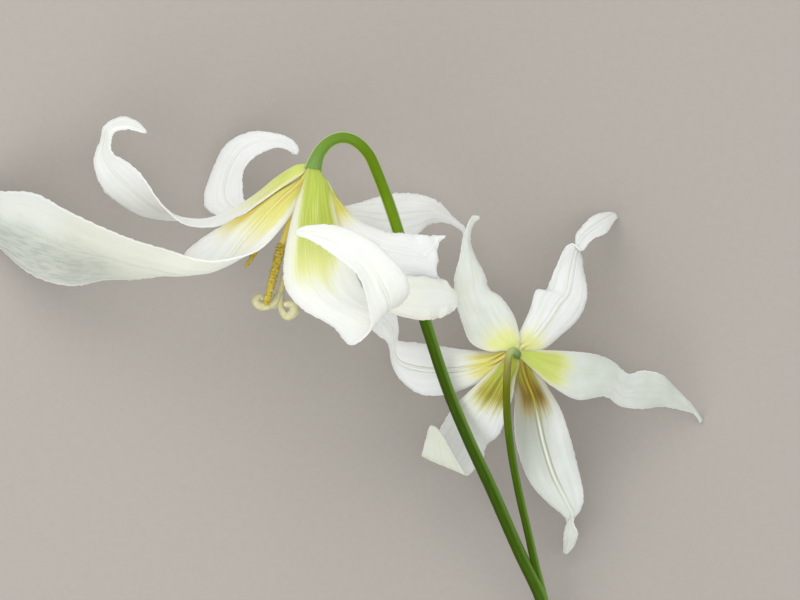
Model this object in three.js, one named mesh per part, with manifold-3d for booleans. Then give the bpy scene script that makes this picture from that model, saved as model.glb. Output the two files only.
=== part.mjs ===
// Trout lily stem: one cut scape that forks into two arched stalks, each with a nodding bloom of six
// recurved tepals, six stamens and a pistil. It lies on its side: +Z is up, +Y runs from the cut end
// toward the blooms. Millimetres.

import * as THREE from "three";
import { mergeVertices } from "three/addons/utils/BufferGeometryUtils.js";
import Module from "manifold-3d";

const wasm = await Module();
wasm.setup();

// from the drawing's zero, between the two blooms, to the middle of the footprint
const FOOTPRINT_MIDDLE_X = -11.4;
const FOOTPRINT_MIDDLE_Y = -51.1;
const REST_HEIGHT = 0.05;

// tepal sheet
const EDGE_THICK = 0.62;
const RIB_THICK = 0.8;
const ACROSS = 7; // points across a tepal
const PER_ROW = 2.1; // cross sections between two rows of the tables
const WAVE_HEIGHT = 0.22;
const WAVES = 5;

// receptacle, the flared stalk end that the tepals grow from
const OUTER_CLAW_AT = 1.58;
const OUTER_CLAW_HALF = 0.8;
const INNER_CLAW_AT = 0.82;
const INNER_CLAW_HALF = 0.4;
const CLAW_LONG = 0.9;
const CLAW_FLARE = 0.35;
const CLAW_WIDENS = 0.15;
const SEAT_GAP = 0.35;
const KNOB_RADIUS = 0.2;
const KNOB_TALL = 1.3;
const DISC_FROM = 1.65;
const DISC_TO = 2.2;
const DISC_RADIUS = 0.95;

// stamens and pistil
const FILAMENT_RADIUS = 0.3;
const ANTHER_RADIUS = 0.62;
const OVARY_FROM = 2.55;
const OVARY_RADIUS = 0.95;
const STYLE_RADIUS = 0.5;
const LOBE_RADIUS = 0.6;

const PETAL_WHITE = { color: 0xf3f3ec, roughness: 0.55, metalness: 0 };
const STALK_GREEN = { color: 0x5c8a2c, roughness: 0.5, metalness: 0 };
const POLLEN_GOLD = { color: 0xd3b452, roughness: 0.8, metalness: 0 };
const PISTIL_CREAM = { color: 0xd8d4b4, roughness: 0.5, metalness: 0 };

// where each receptacle sits, which way its bloom points, and the two directions across that axis
const LARGE = {
  at: new THREE.Vector3(-13.9, 20.8, 27),
  axis: new THREE.Vector3(-0.26, -0.965, 0).normalize(),
  ahead: new THREE.Vector3(0, 0, 1),
};
LARGE.side = new THREE.Vector3().crossVectors(LARGE.axis, LARGE.ahead).negate();

const SMALL = {
  at: new THREE.Vector3(18.7, -8.6, 23),
  axis: new THREE.Vector3(0.06, -0.31, -0.949).normalize(),
};
SMALL.ahead = new THREE.Vector3(1, 0, 0).addScaledVector(SMALL.axis, -SMALL.axis.x).normalize();
SMALL.side = new THREE.Vector3().crossVectors(SMALL.axis, SMALL.ahead).negate();

// Tepals from the claw outward. A row is one cross section: a point on the first margin, a point on
// the other margin, and how far the midrib stands out of the line between them.
const LARGE_TEPAL_1 = [
  [[-12.1, 18.4, 30.3], [-15.5, 18.2, 30.5], 0.7],
  [[-10.8, 15.4, 33.2], [-16.5, 14.9, 33.4], 1.2],
  [[-9.5, 11, 36.8], [-17.7, 10.5, 36.8], 1.6],
  [[-8, 6, 40.8], [-18.4, 5.5, 40.2], 1.4],
  [[-6.4, 2.2, 43.6], [-18, 1.8, 42.4], 1.2],
  [[-3.5, -0.5, 46.2], [-15, -2.5, 44.6], 1],
  [[-0.7, -1.2, 49.2], [-10.2, -4.9, 47], 0.8],
  [[1.2, 0.4, 52.2], [-7.9, -6.9, 50], 0.4],
  [[1.2, 2.8, 54.8], [-4.7, -4.8, 53.4], 0.2],
  [[-0.7, 5.8, 56.4], [-5, -0.8, 56], 0.2],
  [[-4.8, 9.6, 57.4], [-6.9, 4.2, 57.6], 0.4],
  [[-10.2, 11.6, 57.4], [-10.9, 7.4, 57.8], 0.4],
  [[-14.8, 11.6, 56.4], [-14.2, 9.5, 56.8], 0.2],
  [[-16.9, 10.7, 55.4], [-16.7, 10.2, 55.4], 0],
];

const LARGE_TEPAL_2 = [
  [[-11.6, 18, 27.6], [-12.8, 17.6, 29.4], 0.5],
  [[-9.6, 15.2, 27.6], [-11.6, 13.8, 31.6], 0.9],
  [[-6.6, 12.7, 29], [-10.5, 9, 34.4], 1],
  [[-3.2, 11.3, 30.4], [-8.6, 4.2, 36.8], 0.8],
  [[0.8, 10.8, 31.4], [-5.4, 0.4, 37.6], 0.6],
  [[4.2, 10.2, 31.6], [-1.6, -2.4, 36.6], 0.5],
  [[7.1, 10, 31], [2.4, -3.3, 35], 0.2],
  [[5.9, 7.4, 29.4], [7, -2.8, 33], 0],
  [[5.6, 5, 28.4], [9.3, -0.4, 31], 0],
  [[6.3, 3.4, 27.8], [8.2, 2, 29.4], 0],
];

const LARGE_TEPAL_3 = [
  [[-12.6, 18.4, 22.9], [-11.3, 18.3, 24.9], 0.6],
  [[-10.2, 15, 19.8], [-8.8, 12.6, 23.4], 1],
  [[-6.6, 15.7, 16.6], [-5.2, 10.8, 21], 0.8],
  [[-1.6, 17, 14], [-1.6, 9.4, 18], 0.4],
  [[3, 17.1, 11.5], [2.2, 10.4, 14], 0.2],
  [[6.3, 15.7, 9], [4.8, 12.2, 10.5], 0.2],
  [[8.7, 13.4, 7], [7.6, 12.5, 7.5], 0.1],
  [[10.4, 11.8, 5.5], [10, 11.2, 5.5], 0],
  [[10.8, 10.4, 4.8], [10.3, 10.2, 4.8], 0],
];

const LARGE_TEPAL_4 = [
  [[-15.8, 18.4, 23.2], [-14.2, 17.8, 22.9], 0.5],
  [[-18.9, 17.2, 19.2], [-16.6, 14.4, 18.4], 0.9],
  [[-22.6, 15.5, 15.2], [-21.6, 11.8, 13], 0.8],
  [[-25, 16, 12.2], [-28.6, 13.3, 7.8], 0.4],
  [[-25.6, 18.2, 11], [-31.5, 15.4, 5.8], 0.2],
  [[-25.2, 20.8, 10.8], [-30.7, 20.4, 5.4], 0.2],
  [[-23.4, 23.2, 11.6], [-28.4, 25, 7], 0.2],
  [[-20.6, 24.5, 13], [-24, 27.1, 9.5], 0.2],
  [[-18.3, 24.4, 14], [-19.6, 26.7, 12], 0.1],
  [[-16.5, 24, 14.6], [-16.8, 24.6, 14.2], 0],
];

const LARGE_TEPAL_5 = [
  [[-17.2, 20.7, 26.8], [-16.6, 18.9, 25.2], 0.6],
  [[-20.3, 18.8, 26.6], [-19.8, 15.9, 22.2], 0.9],
  [[-24.8, 15.7, 25.2], [-24.6, 12.9, 18.2], 0.9],
  [[-29.2, 13.8, 23.6], [-30, 11.5, 14.8], 0.8],
  [[-33.4, 13.3, 22.2], [-34.4, 11.6, 12.8], 0.8],
  [[-38, 15.2, 20.4], [-41.3, 13.4, 11.8], 0.8],
  [[-41.4, 19.9, 18.6], [-46.2, 16.1, 12.4], 0.8],
  [[-44, 22.1, 17.6], [-48.2, 18.7, 13.2], 0.6],
  [[-46.1, 23.5, 17.2], [-49.3, 22.6, 14.2], 0.4],
  [[-46.4, 25.5, 17.6], [-48.3, 25.9, 15.8], 0.1],
  [[-45.8, 27.2, 19], [-47.6, 28.2, 17.2], 0],
  [[-43.7, 27.6, 20], [-44.6, 29.7, 18.6], 0],
  [[-41.6, 27, 20.6], [-42.3, 29.1, 19.6], 0],
  [[-40.6, 26.8, 20.6], [-40.8, 27.3, 20.6], 0],
];

const LARGE_TEPAL_6 = [
  [[-15.2, 17.6, 29.2], [-16.6, 18.9, 28], 0.5],
  [[-17.2, 13.8, 32.2], [-20.2, 16.9, 28.4], 0.8],
  [[-20, 10.2, 34.4], [-24.3, 14, 28], 0.2],
  [[-23, 7.6, 35.2], [-27.6, 12.4, 26.8], -1],
  [[-26.5, 6.6, 34.6], [-30.5, 11.2, 25.5], -2.4, 0.2],
  [[-31, 6.5, 32.5], [-33.3, 9.6, 24.2], -3.4, 0.3],
  [[-35.9, 7.5, 29.5], [-37, 5.4, 22.9], -2.8, 0.2],
  [[-41.2, 9.1, 26], [-41.8, 3.1, 19.8], -1.4],
  [[-47.3, 11.6, 22], [-47.8, 3.1, 17], -0.8],
  [[-54, 14.5, 17], [-53, 2.3, 12.5], -0.3],
  [[-59.2, 17.2, 12.4], [-59.2, 4, 8.4], 0],
  [[-64.4, 17.6, 7.6], [-64.6, 8, 4.4], 0],
  [[-69, 17.7, 3.4], [-69, 12.8, 1.9], 0.1],
  [[-72, 17.7, 0.3], [-71.8, 17, 0.15], 0],
];

const SMALL_TEPAL_1 = [
  [[22, -8, 21.4], [21.2, -10.6, 21.4], 0.6],
  [[25.6, -8.2, 18.8], [24.4, -13.8, 19], 0.8],
  [[30.4, -8.6, 16.2], [28.6, -16, 16.4], 0.7],
  [[33.8, -9.6, 14], [32.9, -15.5, 14], 0.5],
  [[36.7, -11.9, 12], [35.8, -17.2, 11], 0.2],
  [[39.3, -11.5, 10.5], [38.9, -17.5, 9], 0],
  [[42.1, -12, 8.5], [42.4, -17.3, 6.5], 0],
  [[44.7, -14.2, 5.4], [45.5, -17.8, 4], 0.1],
  [[47.4, -17.1, 2.5], [47.8, -18.5, 2.1], 0.1],
  [[49.2, -19.5, 0.2], [48.8, -20, 0.2], 0],
];

const SMALL_TEPAL_2 = [
  [[19.9, -5.2, 20], [22.2, -7, 19.8], 0.5],
  [[20.9, -1.6, 18.2], [25.8, -5.7, 17.6], 0.9],
  [[21.9, 1.5, 16.6], [28.7, -3, 15.6], 0.8],
  [[23.6, 1.7, 15.4], [30, 0, 14], 0.6],
  [[24.9, 4.8, 14], [30, 3, 12.2], 0.3],
  [[26.3, 7.8, 12.8], [29.6, 5.4, 10.6], 0.2],
  [[27.8, 9.1, 12], [29.1, 7.3, 9.6], 0],
  [[29.3, 8.1, 11.2], [28.4, 9.7, 8.8], 0],
  [[31.1, 9.7, 9.4], [29.1, 11.5, 7.2], 0],
  [[33.4, 10.9, 6.8], [31.1, 13.5, 5], 0],
  [[34.8, 12.8, 2.6], [33.8, 14.2, 1.8], 0],
  [[35.4, 13.4, 0.4], [34.8, 14.2, 0.1], 0],
];

const SMALL_TEPAL_3 = [
  [[15.1, -7.5, 21.4], [18.6, -5.5, 21.4], 0.6],
  [[11.7, -6.8, 19.4], [17.9, -2.6, 19.2], 0.9],
  [[10, -3.6, 17.4], [16.4, 0.2, 17], 0.8],
  [[9, 0, 16.2], [14.4, 1.8, 15.6], 0.6],
  [[8.8, 3.4, 15.4], [13.7, 3.8, 14.6], 0.5],
  [[9.4, 6.2, 15.2], [12.4, 6.6, 14.2], 0.4],
  [[10.1, 9.2, 15.8], [11.3, 9.4, 14.8], 0.2],
  [[10.6, 11.4, 17.2], [11.4, 11, 16.4], 0.1],
  [[11.5, 13.3, 18.8], [12, 12.5, 18.4], 0],
  [[12.7, 13.5, 19.6], [12.7, 13, 19.6], 0],
];

const SMALL_TEPAL_4 = [
  [[14.7, -10.6, 20.2], [14.8, -8.7, 20.2], 0.5],
  [[11.4, -13.2, 17.8], [11, -8.3, 17.8], 0.8],
  [[7.4, -15.2, 16.2], [6.8, -7.5, 16], 0.7],
  [[3.2, -15.1, 14.6], [2.6, -6.9, 14.4], 0.5],
  [[0.2, -13, 12.6], [-0.2, -6.5, 13.2], 0.3],
  [[-1.3, -9.8, 11.4], [-0.4, -4.6, 12.6], 0.1],
  [[-2.2, -6.8, 10.8], [-0.4, -2.8, 12], 0],
  [[-4.4, -4.8, 10.4], [-1.6, -0.6, 11], 0],
  [[-5.6, -2.2, 9.8], [-4.2, -0.2, 10], 0],
  [[-6.4, -0.4, 9.4], [-6, 0.1, 9.4], 0],
];

const SMALL_TEPAL_5 = [
  [[17.6, -12, 21.4], [15.5, -11.2, 21.4], 0.6],
  [[17.3, -15.2, 19.2], [12.5, -14, 19.4], 0.8],
  [[17.2, -18.4, 17], [9.8, -16, 17.4], 0.7],
  [[15.8, -21.8, 14.8], [7.9, -18.3, 14.6], 0.4],
  [[13.9, -23.5, 13.2], [6.4, -20.9, 12.8], 0.2],
  [[13.3, -25.8, 12.4], [4.9, -23.1, 12.4], 0],
  [[11, -28.1, 13], [3.7, -25.1, 13.4], 0],
  [[9.6, -26.7, 15], [3.6, -24.7, 15.4], 0],
  [[8.2, -24.1, 16.8], [4.2, -22.3, 17], 0],
  [[6.8, -21.7, 18], [4.6, -20.7, 18.2], 0],
  [[5.9, -20.5, 18.5], [5, -20.1, 18.5], 0],
];

const SMALL_TEPAL_6 = [
  [[21, -11.7, 19.9], [19.2, -12.3, 19.9], 0.5],
  [[24, -14.5, 17.6], [18.5, -15.6, 17.8], 0.8],
  [[25.9, -17.8, 16.2], [18.4, -19.4, 16], 0.7],
  [[27.3, -21.9, 14.8], [18.9, -23.8, 14.4], 0.6],
  [[28.6, -26.8, 12.8], [20.8, -29, 12.2], 0.4],
  [[29.6, -31.3, 10.6], [24, -32.9, 9.8], 0.2],
  [[29.2, -34, 9], [26.5, -34.9, 8.4], 0.1],
  [[28.1, -35.6, 8], [27, -35.8, 6.8], 0],
  [[28.8, -37.7, 6], [26.6, -37.5, 5.4], 0],
  [[28.3, -39.8, 3.6], [26.6, -39.5, 3.4], 0],
  [[27.2, -41.2, 2.2], [26.5, -41, 2.2], 0],
];

const STALK = [
  // x, y, z, radius
  [-13.9, 20.8, 27, 1.6],
  [-13.38, 22.7, 27, 1.2],
  [-12.2, 24.6, 27.3, 1.02],
  [-9.2, 25.95, 27.8, 0.95],
  [-6.2, 24.6, 27.7, 0.95],
  [-4.2, 21.7, 27, 0.95],
  [-1.4, 14.4, 25, 0.95],
  [1.5, 5, 22.5, 0.95],
  [4.5, -4.8, 20.2, 0.95],
  [7.7, -14.4, 18.8, 0.95],
  [11.2, -22.8, 16.8, 0.97],
  [14.8, -30.5, 13, 1],
  [19.1, -40.3, 8.6, 1],
  [22.9, -48.4, 6, 1.05],
  [25.8, -58, 3.8, 1.25],
  [28.8, -75, 2, 1.35],
  [30.8, -95, 1.4, 1.4],
  [31.8, -115, 1.4, 1.4],
  [32.3, -132, 1.4, 1.4],
];

const THIN_STALK = [
  [18.7, -8.6, 23, 1.45],
  [18.6, -8.1, 24.5, 1],
  [18, -7.9, 25.9, 0.78],
  [17.1, -9, 26.6, 0.68],
  [16.8, -11.6, 26, 0.65],
  [16.9, -15.4, 24.2, 0.63],
  [17.2, -19.6, 21.4, 0.63],
  [17.9, -24.6, 18, 0.63],
  [19.1, -30.8, 14.2, 0.65],
  [20.6, -37.2, 10.6, 0.66],
  [22, -43.3, 7.4, 0.68],
  [23.4, -48.8, 5.4, 0.7],
  [24.7, -54.3, 4.5, 0.7],
];

// Stamens in their bloom's own terms: along the axis, to the side and ahead, first where the
// filament meets the anther and then the anther's tip.
const LARGE_STAMENS = [
  [[12.5, -2, 1.6], [23, -1.6, 2.4]],
  [[11.5, -4.4, -1], [17.9, -6.4, -1.6]],
  [[12, 2.6, 2.2], [20.5, 3.6, 3]],
  [[11.5, 3.6, 0.2], [19.5, 5, 0.4]],
  [[12, 2.6, -2.6], [20, 3.4, -3.4]],
  [[9, -3.4, -3], [13.6, -6.2, -5]],
];

const SMALL_STAMENS = [
  [[9, 2.6, 0.4], [15, 3.8, 0.6]],
  [[9.5, 1.2, 2.4], [16, 1.7, 3.6]],
  [[9, -1.3, 2.2], [14.6, -2, 3.4]],
  [[9.5, -2.6, -0.2], [15.6, -3.8, -0.4]],
  [[9, -1.2, -2.4], [15.2, -1.8, -3.6]],
  [[9.5, 1.4, -2.2], [16, 2.1, -3.3]],
];

// Stigma lobes of the large bloom, each curling out of the style's end.
const LARGE_STYLE_END = [20.6, 0, 0];
const LARGE_LOBES = [
  [[19.6, 0, 0], [21.6, -0.4, 0.4], [23, -1.9, -0.2], [22.9, -3.6, -0.6], [21.6, -4.3, -0.8], [21.1, -3.3, -0.9]],
  [[19.6, 0, 0], [21.9, 0.6, 0.3], [23.4, 1.2, 0.7], [23.8, 2.5, 1], [22.9, 3.2, 1.1], [22, 2.7, 1.2], [21.9, 1.9, 1.4]],
  [[19.6, 0, 0], [21.7, 0, -1], [22.6, -0.3, -2.5], [22.2, -0.5, -4], [21, -0.5, -4.2], [20.6, -0.4, -3.3]],
];

const SMALL_STYLE_END = [16, 0, 0];
const SMALL_LOBES = [
  [[15.2, 0, 0], [17, 0.5, 0.5], [18, 1.5, 1.4], [17.6, 2.5, 2.2], [16.6, 2.6, 2.3]],
  [[15.2, 0, 0], [17, -0.6, 0.2], [18, -1.9, 0.5], [17.7, -3, 0.9], [16.7, -3.2, 1]],
  [[15.2, 0, 0], [17, 0.1, -0.7], [17.9, 0.3, -1.9], [17.5, 0.5, -3.1], [16.5, 0.5, -3.3]],
];

function at(bloom, [along, side, ahead]) {
  return bloom.at
    .clone()
    .addScaledVector(bloom.axis, along)
    .addScaledVector(bloom.side, side)
    .addScaledVector(bloom.ahead, ahead);
}

function outward(bloom, degrees) {
  const turn = THREE.MathUtils.degToRad(degrees);
  return bloom.ahead.clone().multiplyScalar(Math.cos(turn)).addScaledVector(bloom.side, Math.sin(turn));
}

function closedGeometry(points, index) {
  const geometry = new THREE.BufferGeometry();
  const flat = points.flatMap((p) => [p.x, p.y, p.z]);
  geometry.setAttribute("position", new THREE.Float32BufferAttribute(flat, 3));
  geometry.setIndex(index);
  return geometry;
}

function toSolid(geometry) {
  const bare = geometry.clone();
  bare.deleteAttribute("normal");
  bare.deleteAttribute("uv");
  const merged = mergeVertices(bare, 1e-4);
  return new wasm.Manifold(
    new wasm.Mesh({
      numProp: 3,
      vertProperties: Float32Array.from(merged.attributes.position.array),
      triVerts: Uint32Array.from(merged.index.array),
    }),
  );
}

function toGeometry(solid) {
  const mesh = solid.getMesh();
  const geometry = new THREE.BufferGeometry();
  geometry.setAttribute("position", new THREE.Float32BufferAttribute(mesh.vertProperties, 3));
  geometry.setIndex(Array.from(mesh.triVerts));
  return geometry;
}

function join(geometries) {
  return toGeometry(geometries.map(toSolid).reduce((whole, piece) => whole.add(piece)));
}

// A round limb of changing radius along a smooth line, closed at both ends.
function limb(rows, sides, steps) {
  const line = new THREE.CatmullRomCurve3(rows.map((r) => new THREE.Vector3(r[0], r[1], r[2])), false, "catmullrom", 0.5);
  const girth = new THREE.CatmullRomCurve3(rows.map((r) => new THREE.Vector3(r[3], 0, 0)), false, "catmullrom", 0.5);
  const points = [];
  const index = [];
  const across = new THREE.Vector3(0, 0, 1);
  for (let i = 0; i <= steps; i++) {
    const t = i / steps;
    const centre = line.getPoint(t);
    const forward = line.getTangent(t);
    across.addScaledVector(forward, -across.dot(forward)).normalize();
    const other = new THREE.Vector3().crossVectors(forward, across);
    const radius = girth.getPoint(t).x;
    for (let k = 0; k < sides; k++) {
      const turn = (2 * Math.PI * k) / sides;
      const p = centre.clone().addScaledVector(across, radius * Math.cos(turn));
      points.push(p.addScaledVector(other, radius * Math.sin(turn)));
    }
  }
  for (let i = 0; i < steps; i++) {
    for (let k = 0; k < sides; k++) {
      const a = i * sides + k;
      const b = i * sides + ((k + 1) % sides);
      index.push(a, b, b + sides, a, b + sides, a + sides);
    }
  }
  const last = steps * sides;
  for (let k = 1; k < sides - 1; k++) {
    index.push(0, k + 1, k);
    index.push(last, last + k, last + k + 1);
  }
  return closedGeometry(points, index);
}

// A tepal: a thin curved sheet from its narrow claw on the receptacle to its tip.
function tepal(bloom, outer, degrees, rows, phase) {
  const out = outward(bloom, degrees);
  const edge = new THREE.Vector3().crossVectors(out, bloom.axis).normalize();
  const claw = bloom.at.clone().addScaledVector(bloom.axis, SEAT_GAP);
  claw.addScaledVector(out, outer ? OUTER_CLAW_AT : INNER_CLAW_AT);
  const half = outer ? OUTER_CLAW_HALF : INNER_CLAW_HALF;
  const firstMargin = [];
  const otherMargin = [];
  const crown = [];
  for (const reach of [0, CLAW_LONG]) {
    const wide = half + reach * CLAW_WIDENS;
    const point = claw.clone().addScaledVector(bloom.axis, reach).addScaledVector(out, reach * CLAW_FLARE);
    firstMargin.push(point.clone().addScaledVector(edge, wide));
    otherMargin.push(point.clone().addScaledVector(edge, -wide));
    crown.push(new THREE.Vector3(0, 0, 0));
  }
  for (const [first, other, stand, shift = 0] of rows) {
    firstMargin.push(new THREE.Vector3(...first));
    otherMargin.push(new THREE.Vector3(...other));
    crown.push(new THREE.Vector3(stand, shift, 0));
  }
  const smooth = (points) => new THREE.CatmullRomCurve3(points, false, "catmullrom", 0.5);
  const a = smooth(firstMargin);
  const b = smooth(otherMargin);
  const c = smooth(crown);
  const steps = Math.round(rows.length * PER_ROW);

  const middle = (t) => a.getPoint(t).add(b.getPoint(t)).multiplyScalar(0.5);
  const grid = [];
  for (let i = 0; i <= steps; i++) {
    const t = i / steps;
    const halfway = a.getPoint(t).sub(b.getPoint(t)).multiplyScalar(0.5);
    const forward = middle(Math.min(1, t + 0.01)).sub(middle(Math.max(0, t - 0.01)));
    const back = new THREE.Vector3().crossVectors(forward, halfway).normalize();
    const stand = c.getPoint(t);
    const fade = THREE.MathUtils.smoothstep(t, 0.2, 0.45) * THREE.MathUtils.smoothstep(1 - t, 0, 0.12);
    const row = [];
    for (let k = 0; k < ACROSS; k++) {
      const u = (2 * k) / (ACROSS - 1) - 1;
      const bow = 1 - u * u;
      const wave = Math.sin(2 * Math.PI * WAVES * t + phase + 1.9 * Math.sign(u)) * Math.abs(u) ** 3;
      const lift = stand.x * bow + WAVE_HEIGHT * wave * fade;
      row.push(middle(t).addScaledVector(halfway, u + stand.y * bow).addScaledVector(back, lift));
    }
    grid.push(row);
  }

  const count = (steps + 1) * ACROSS;
  const outerFace = [];
  const innerFace = [];
  for (let i = 0; i <= steps; i++) {
    for (let k = 0; k < ACROSS; k++) {
      const along = grid[Math.min(steps, i + 1)][k].clone().sub(grid[Math.max(0, i - 1)][k]);
      const side = grid[i][Math.min(ACROSS - 1, k + 1)].clone().sub(grid[i][Math.max(0, k - 1)]);
      const normal = new THREE.Vector3().crossVectors(along, side).normalize();
      const u = (2 * k) / (ACROSS - 1) - 1;
      const thick = EDGE_THICK + (RIB_THICK - EDGE_THICK) * (1 - u * u) * (1 - i / steps) * Math.min(1, i / 4);
      outerFace.push(grid[i][k].clone().addScaledVector(normal, thick / 2));
      innerFace.push(grid[i][k].clone().addScaledVector(normal, -thick / 2));
    }
  }

  const index = [];
  const quad = (p, q, r, s) => index.push(p, q, r, p, r, s);
  for (let i = 0; i < steps; i++) {
    for (let k = 0; k < ACROSS - 1; k++) {
      const p = i * ACROSS + k;
      const q = p + ACROSS;
      index.push(p, q, q + 1, p, q + 1, p + 1);
      index.push(count + p, count + q + 1, count + q, count + p, count + p + 1, count + q + 1);
    }
    const lo = i * ACROSS;
    const hi = lo + ACROSS - 1;
    quad(lo, count + lo, count + lo + ACROSS, lo + ACROSS);
    quad(hi, hi + ACROSS, count + hi + ACROSS, count + hi);
  }
  for (let k = 0; k < ACROSS - 1; k++) {
    const tip = steps * ACROSS + k;
    quad(k, k + 1, count + k + 1, count + k);
    quad(tip, count + tip, count + tip + 1, tip + 1);
  }
  return closedGeometry([...outerFace, ...innerFace], index);
}

function limbOf(bloom, rows, sides, steps) {
  return limb(rows.map(([along, side, ahead, radius]) => [...at(bloom, [along, side, ahead]).toArray(), radius]), sides, steps);
}

function stamens(bloom, list) {
  const pieces = [limbOf(bloom, [[DISC_FROM, 0, 0, DISC_RADIUS * 0.8], [DISC_TO, 0, 0, DISC_RADIUS]], 12, 1)];
  for (const [joint, tip] of list) {
    const spread = Math.hypot(joint[1], joint[2]);
    const near = (along, radius) => [along, (radius * joint[1]) / spread, (radius * joint[2]) / spread];
    pieces.push(
      limbOf(
        bloom,
        [
          [...near(DISC_TO - 0.3, 0.62), FILAMENT_RADIUS * 0.9],
          [...near(3.6, 1.6), FILAMENT_RADIUS],
          [...near(6.6, Math.max(1.75, spread * 0.62)), FILAMENT_RADIUS],
          [...joint, FILAMENT_RADIUS * 0.8],
          [...joint.map((v, i) => v + 0.06 * (tip[i] - v)), FILAMENT_RADIUS * 0.7],
        ],
        6,
        8,
      ),
    );
    const along = (share, radius) => [...joint.map((v, i) => v + share * (tip[i] - v)), radius];
    pieces.push(
      limbOf(
        bloom,
        [
          along(0, ANTHER_RADIUS * 0.45),
          along(0.06, ANTHER_RADIUS * 0.85),
          along(0.2, ANTHER_RADIUS),
          along(0.5, ANTHER_RADIUS * 0.95),
          along(0.8, ANTHER_RADIUS),
          along(0.95, ANTHER_RADIUS * 0.8),
          along(1, ANTHER_RADIUS * 0.4),
        ],
        8,
        10,
      ),
    );
  }
  return join(pieces);
}

function pistil(bloom, styleEnd, lobes) {
  const long = styleEnd[0];
  const body = limbOf(
    bloom,
    [
      [OVARY_FROM, 0, 0, OVARY_RADIUS * 0.4],
      [OVARY_FROM + 0.9, 0, 0, OVARY_RADIUS * 0.75],
      [OVARY_FROM + 2.6, 0, 0, OVARY_RADIUS],
      [OVARY_FROM + 4.6, 0, 0, OVARY_RADIUS * 0.9],
      [OVARY_FROM + 6.2, 0, 0, STYLE_RADIUS],
      [long * 0.6, 0, 0, STYLE_RADIUS * 0.9],
      [long * 0.85, 0, 0, STYLE_RADIUS],
      [long, 0, 0, STYLE_RADIUS * 1.2],
    ],
    10,
    16,
  );
  const curls = lobes.map((points) =>
    limbOf(bloom, points.map((p, i) => [...p, i ? LOBE_RADIUS * (1.05 - 0.06 * i) : STYLE_RADIUS * 0.8]), 8, points.length * 2),
  );
  return join([body, ...curls]);
}

function stem() {
  const thick = limb(STALK, 12, 54);
  const thin = limb(THIN_STALK, 10, 36);
  const knob = (bloom) => limbOf(bloom, [[-0.6, 0, 0, KNOB_RADIUS], [KNOB_TALL, 0, 0, KNOB_RADIUS]], 8, 1);
  return join([thick, thin, knob(LARGE), knob(SMALL)]);
}

const plant = new THREE.Group();
plant.position.set(FOOTPRINT_MIDDLE_X * -1, FOOTPRINT_MIDDLE_Y * -1, REST_HEIGHT);

function add(name, geometry, look) {
  geometry.computeVertexNormals();
  const mesh = new THREE.Mesh(geometry, new THREE.MeshStandardMaterial(look));
  mesh.name = name;
  plant.add(mesh);
}

add("stem", stem(), STALK_GREEN);
add("large_tepal_1", tepal(LARGE, true, 0, LARGE_TEPAL_1, 0.4), PETAL_WHITE);
add("large_tepal_2", tepal(LARGE, false, 60, LARGE_TEPAL_2, 1.7), PETAL_WHITE);
add("large_tepal_3", tepal(LARGE, true, 120, LARGE_TEPAL_3, 2.9), PETAL_WHITE);
add("large_tepal_4", tepal(LARGE, false, 180, LARGE_TEPAL_4, 4.1), PETAL_WHITE);
add("large_tepal_5", tepal(LARGE, true, -120, LARGE_TEPAL_5, 5.2), PETAL_WHITE);
add("large_tepal_6", tepal(LARGE, false, -60, LARGE_TEPAL_6, 0.9), PETAL_WHITE);
add("small_tepal_1", tepal(SMALL, true, -2, SMALL_TEPAL_1, 2.2), PETAL_WHITE);
add("small_tepal_2", tepal(SMALL, false, 58, SMALL_TEPAL_2, 3.3), PETAL_WHITE);
add("small_tepal_3", tepal(SMALL, true, 118, SMALL_TEPAL_3, 4.6), PETAL_WHITE);
add("small_tepal_4", tepal(SMALL, false, 178, SMALL_TEPAL_4, 5.7), PETAL_WHITE);
add("small_tepal_5", tepal(SMALL, true, 238, SMALL_TEPAL_5, 1.1), PETAL_WHITE);
add("small_tepal_6", tepal(SMALL, false, 298, SMALL_TEPAL_6, 0.1), PETAL_WHITE);
add("large_stamens", stamens(LARGE, LARGE_STAMENS), POLLEN_GOLD);
add("large_pistil", pistil(LARGE, LARGE_STYLE_END, LARGE_LOBES), PISTIL_CREAM);
add("small_stamens", stamens(SMALL, SMALL_STAMENS), POLLEN_GOLD);
add("small_pistil", pistil(SMALL, SMALL_STYLE_END, SMALL_LOBES), PISTIL_CREAM);

export default plant;
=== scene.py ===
import math

import bpy
import numpy as np
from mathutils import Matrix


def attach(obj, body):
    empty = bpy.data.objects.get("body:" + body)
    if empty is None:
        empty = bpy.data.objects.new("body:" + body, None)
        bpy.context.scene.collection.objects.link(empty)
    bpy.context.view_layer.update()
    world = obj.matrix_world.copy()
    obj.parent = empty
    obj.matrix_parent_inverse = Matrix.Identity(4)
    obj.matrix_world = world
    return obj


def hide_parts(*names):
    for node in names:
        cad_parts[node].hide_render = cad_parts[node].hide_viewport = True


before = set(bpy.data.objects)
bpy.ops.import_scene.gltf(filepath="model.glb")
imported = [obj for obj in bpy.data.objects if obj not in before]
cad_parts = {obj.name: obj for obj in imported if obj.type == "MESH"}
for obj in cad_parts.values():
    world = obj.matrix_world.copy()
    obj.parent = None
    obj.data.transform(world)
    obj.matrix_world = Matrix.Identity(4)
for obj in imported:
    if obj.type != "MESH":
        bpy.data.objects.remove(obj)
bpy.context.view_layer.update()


# The table that the cut stem is laid on: smooth matt card, a warm pale grey, so that white tepals
# stand out from it. The mottle is the card's pulp, pressed in when it was rolled.

TABLE_WIDE = 3.0
TABLE_PALE = (170, 163, 158)
TABLE_DARK = (164, 157, 152)


def paint(red, green, blue):
    """A colour as it reads on a swatch card, from 0 to 255, as the light it gives back."""
    light = [s / 12.92 if s <= 0.04045 else ((s + 0.055) / 1.055) ** 2.4
             for s in (red / 255, green / 255, blue / 255)]
    return (*light, 1.0)


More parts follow.
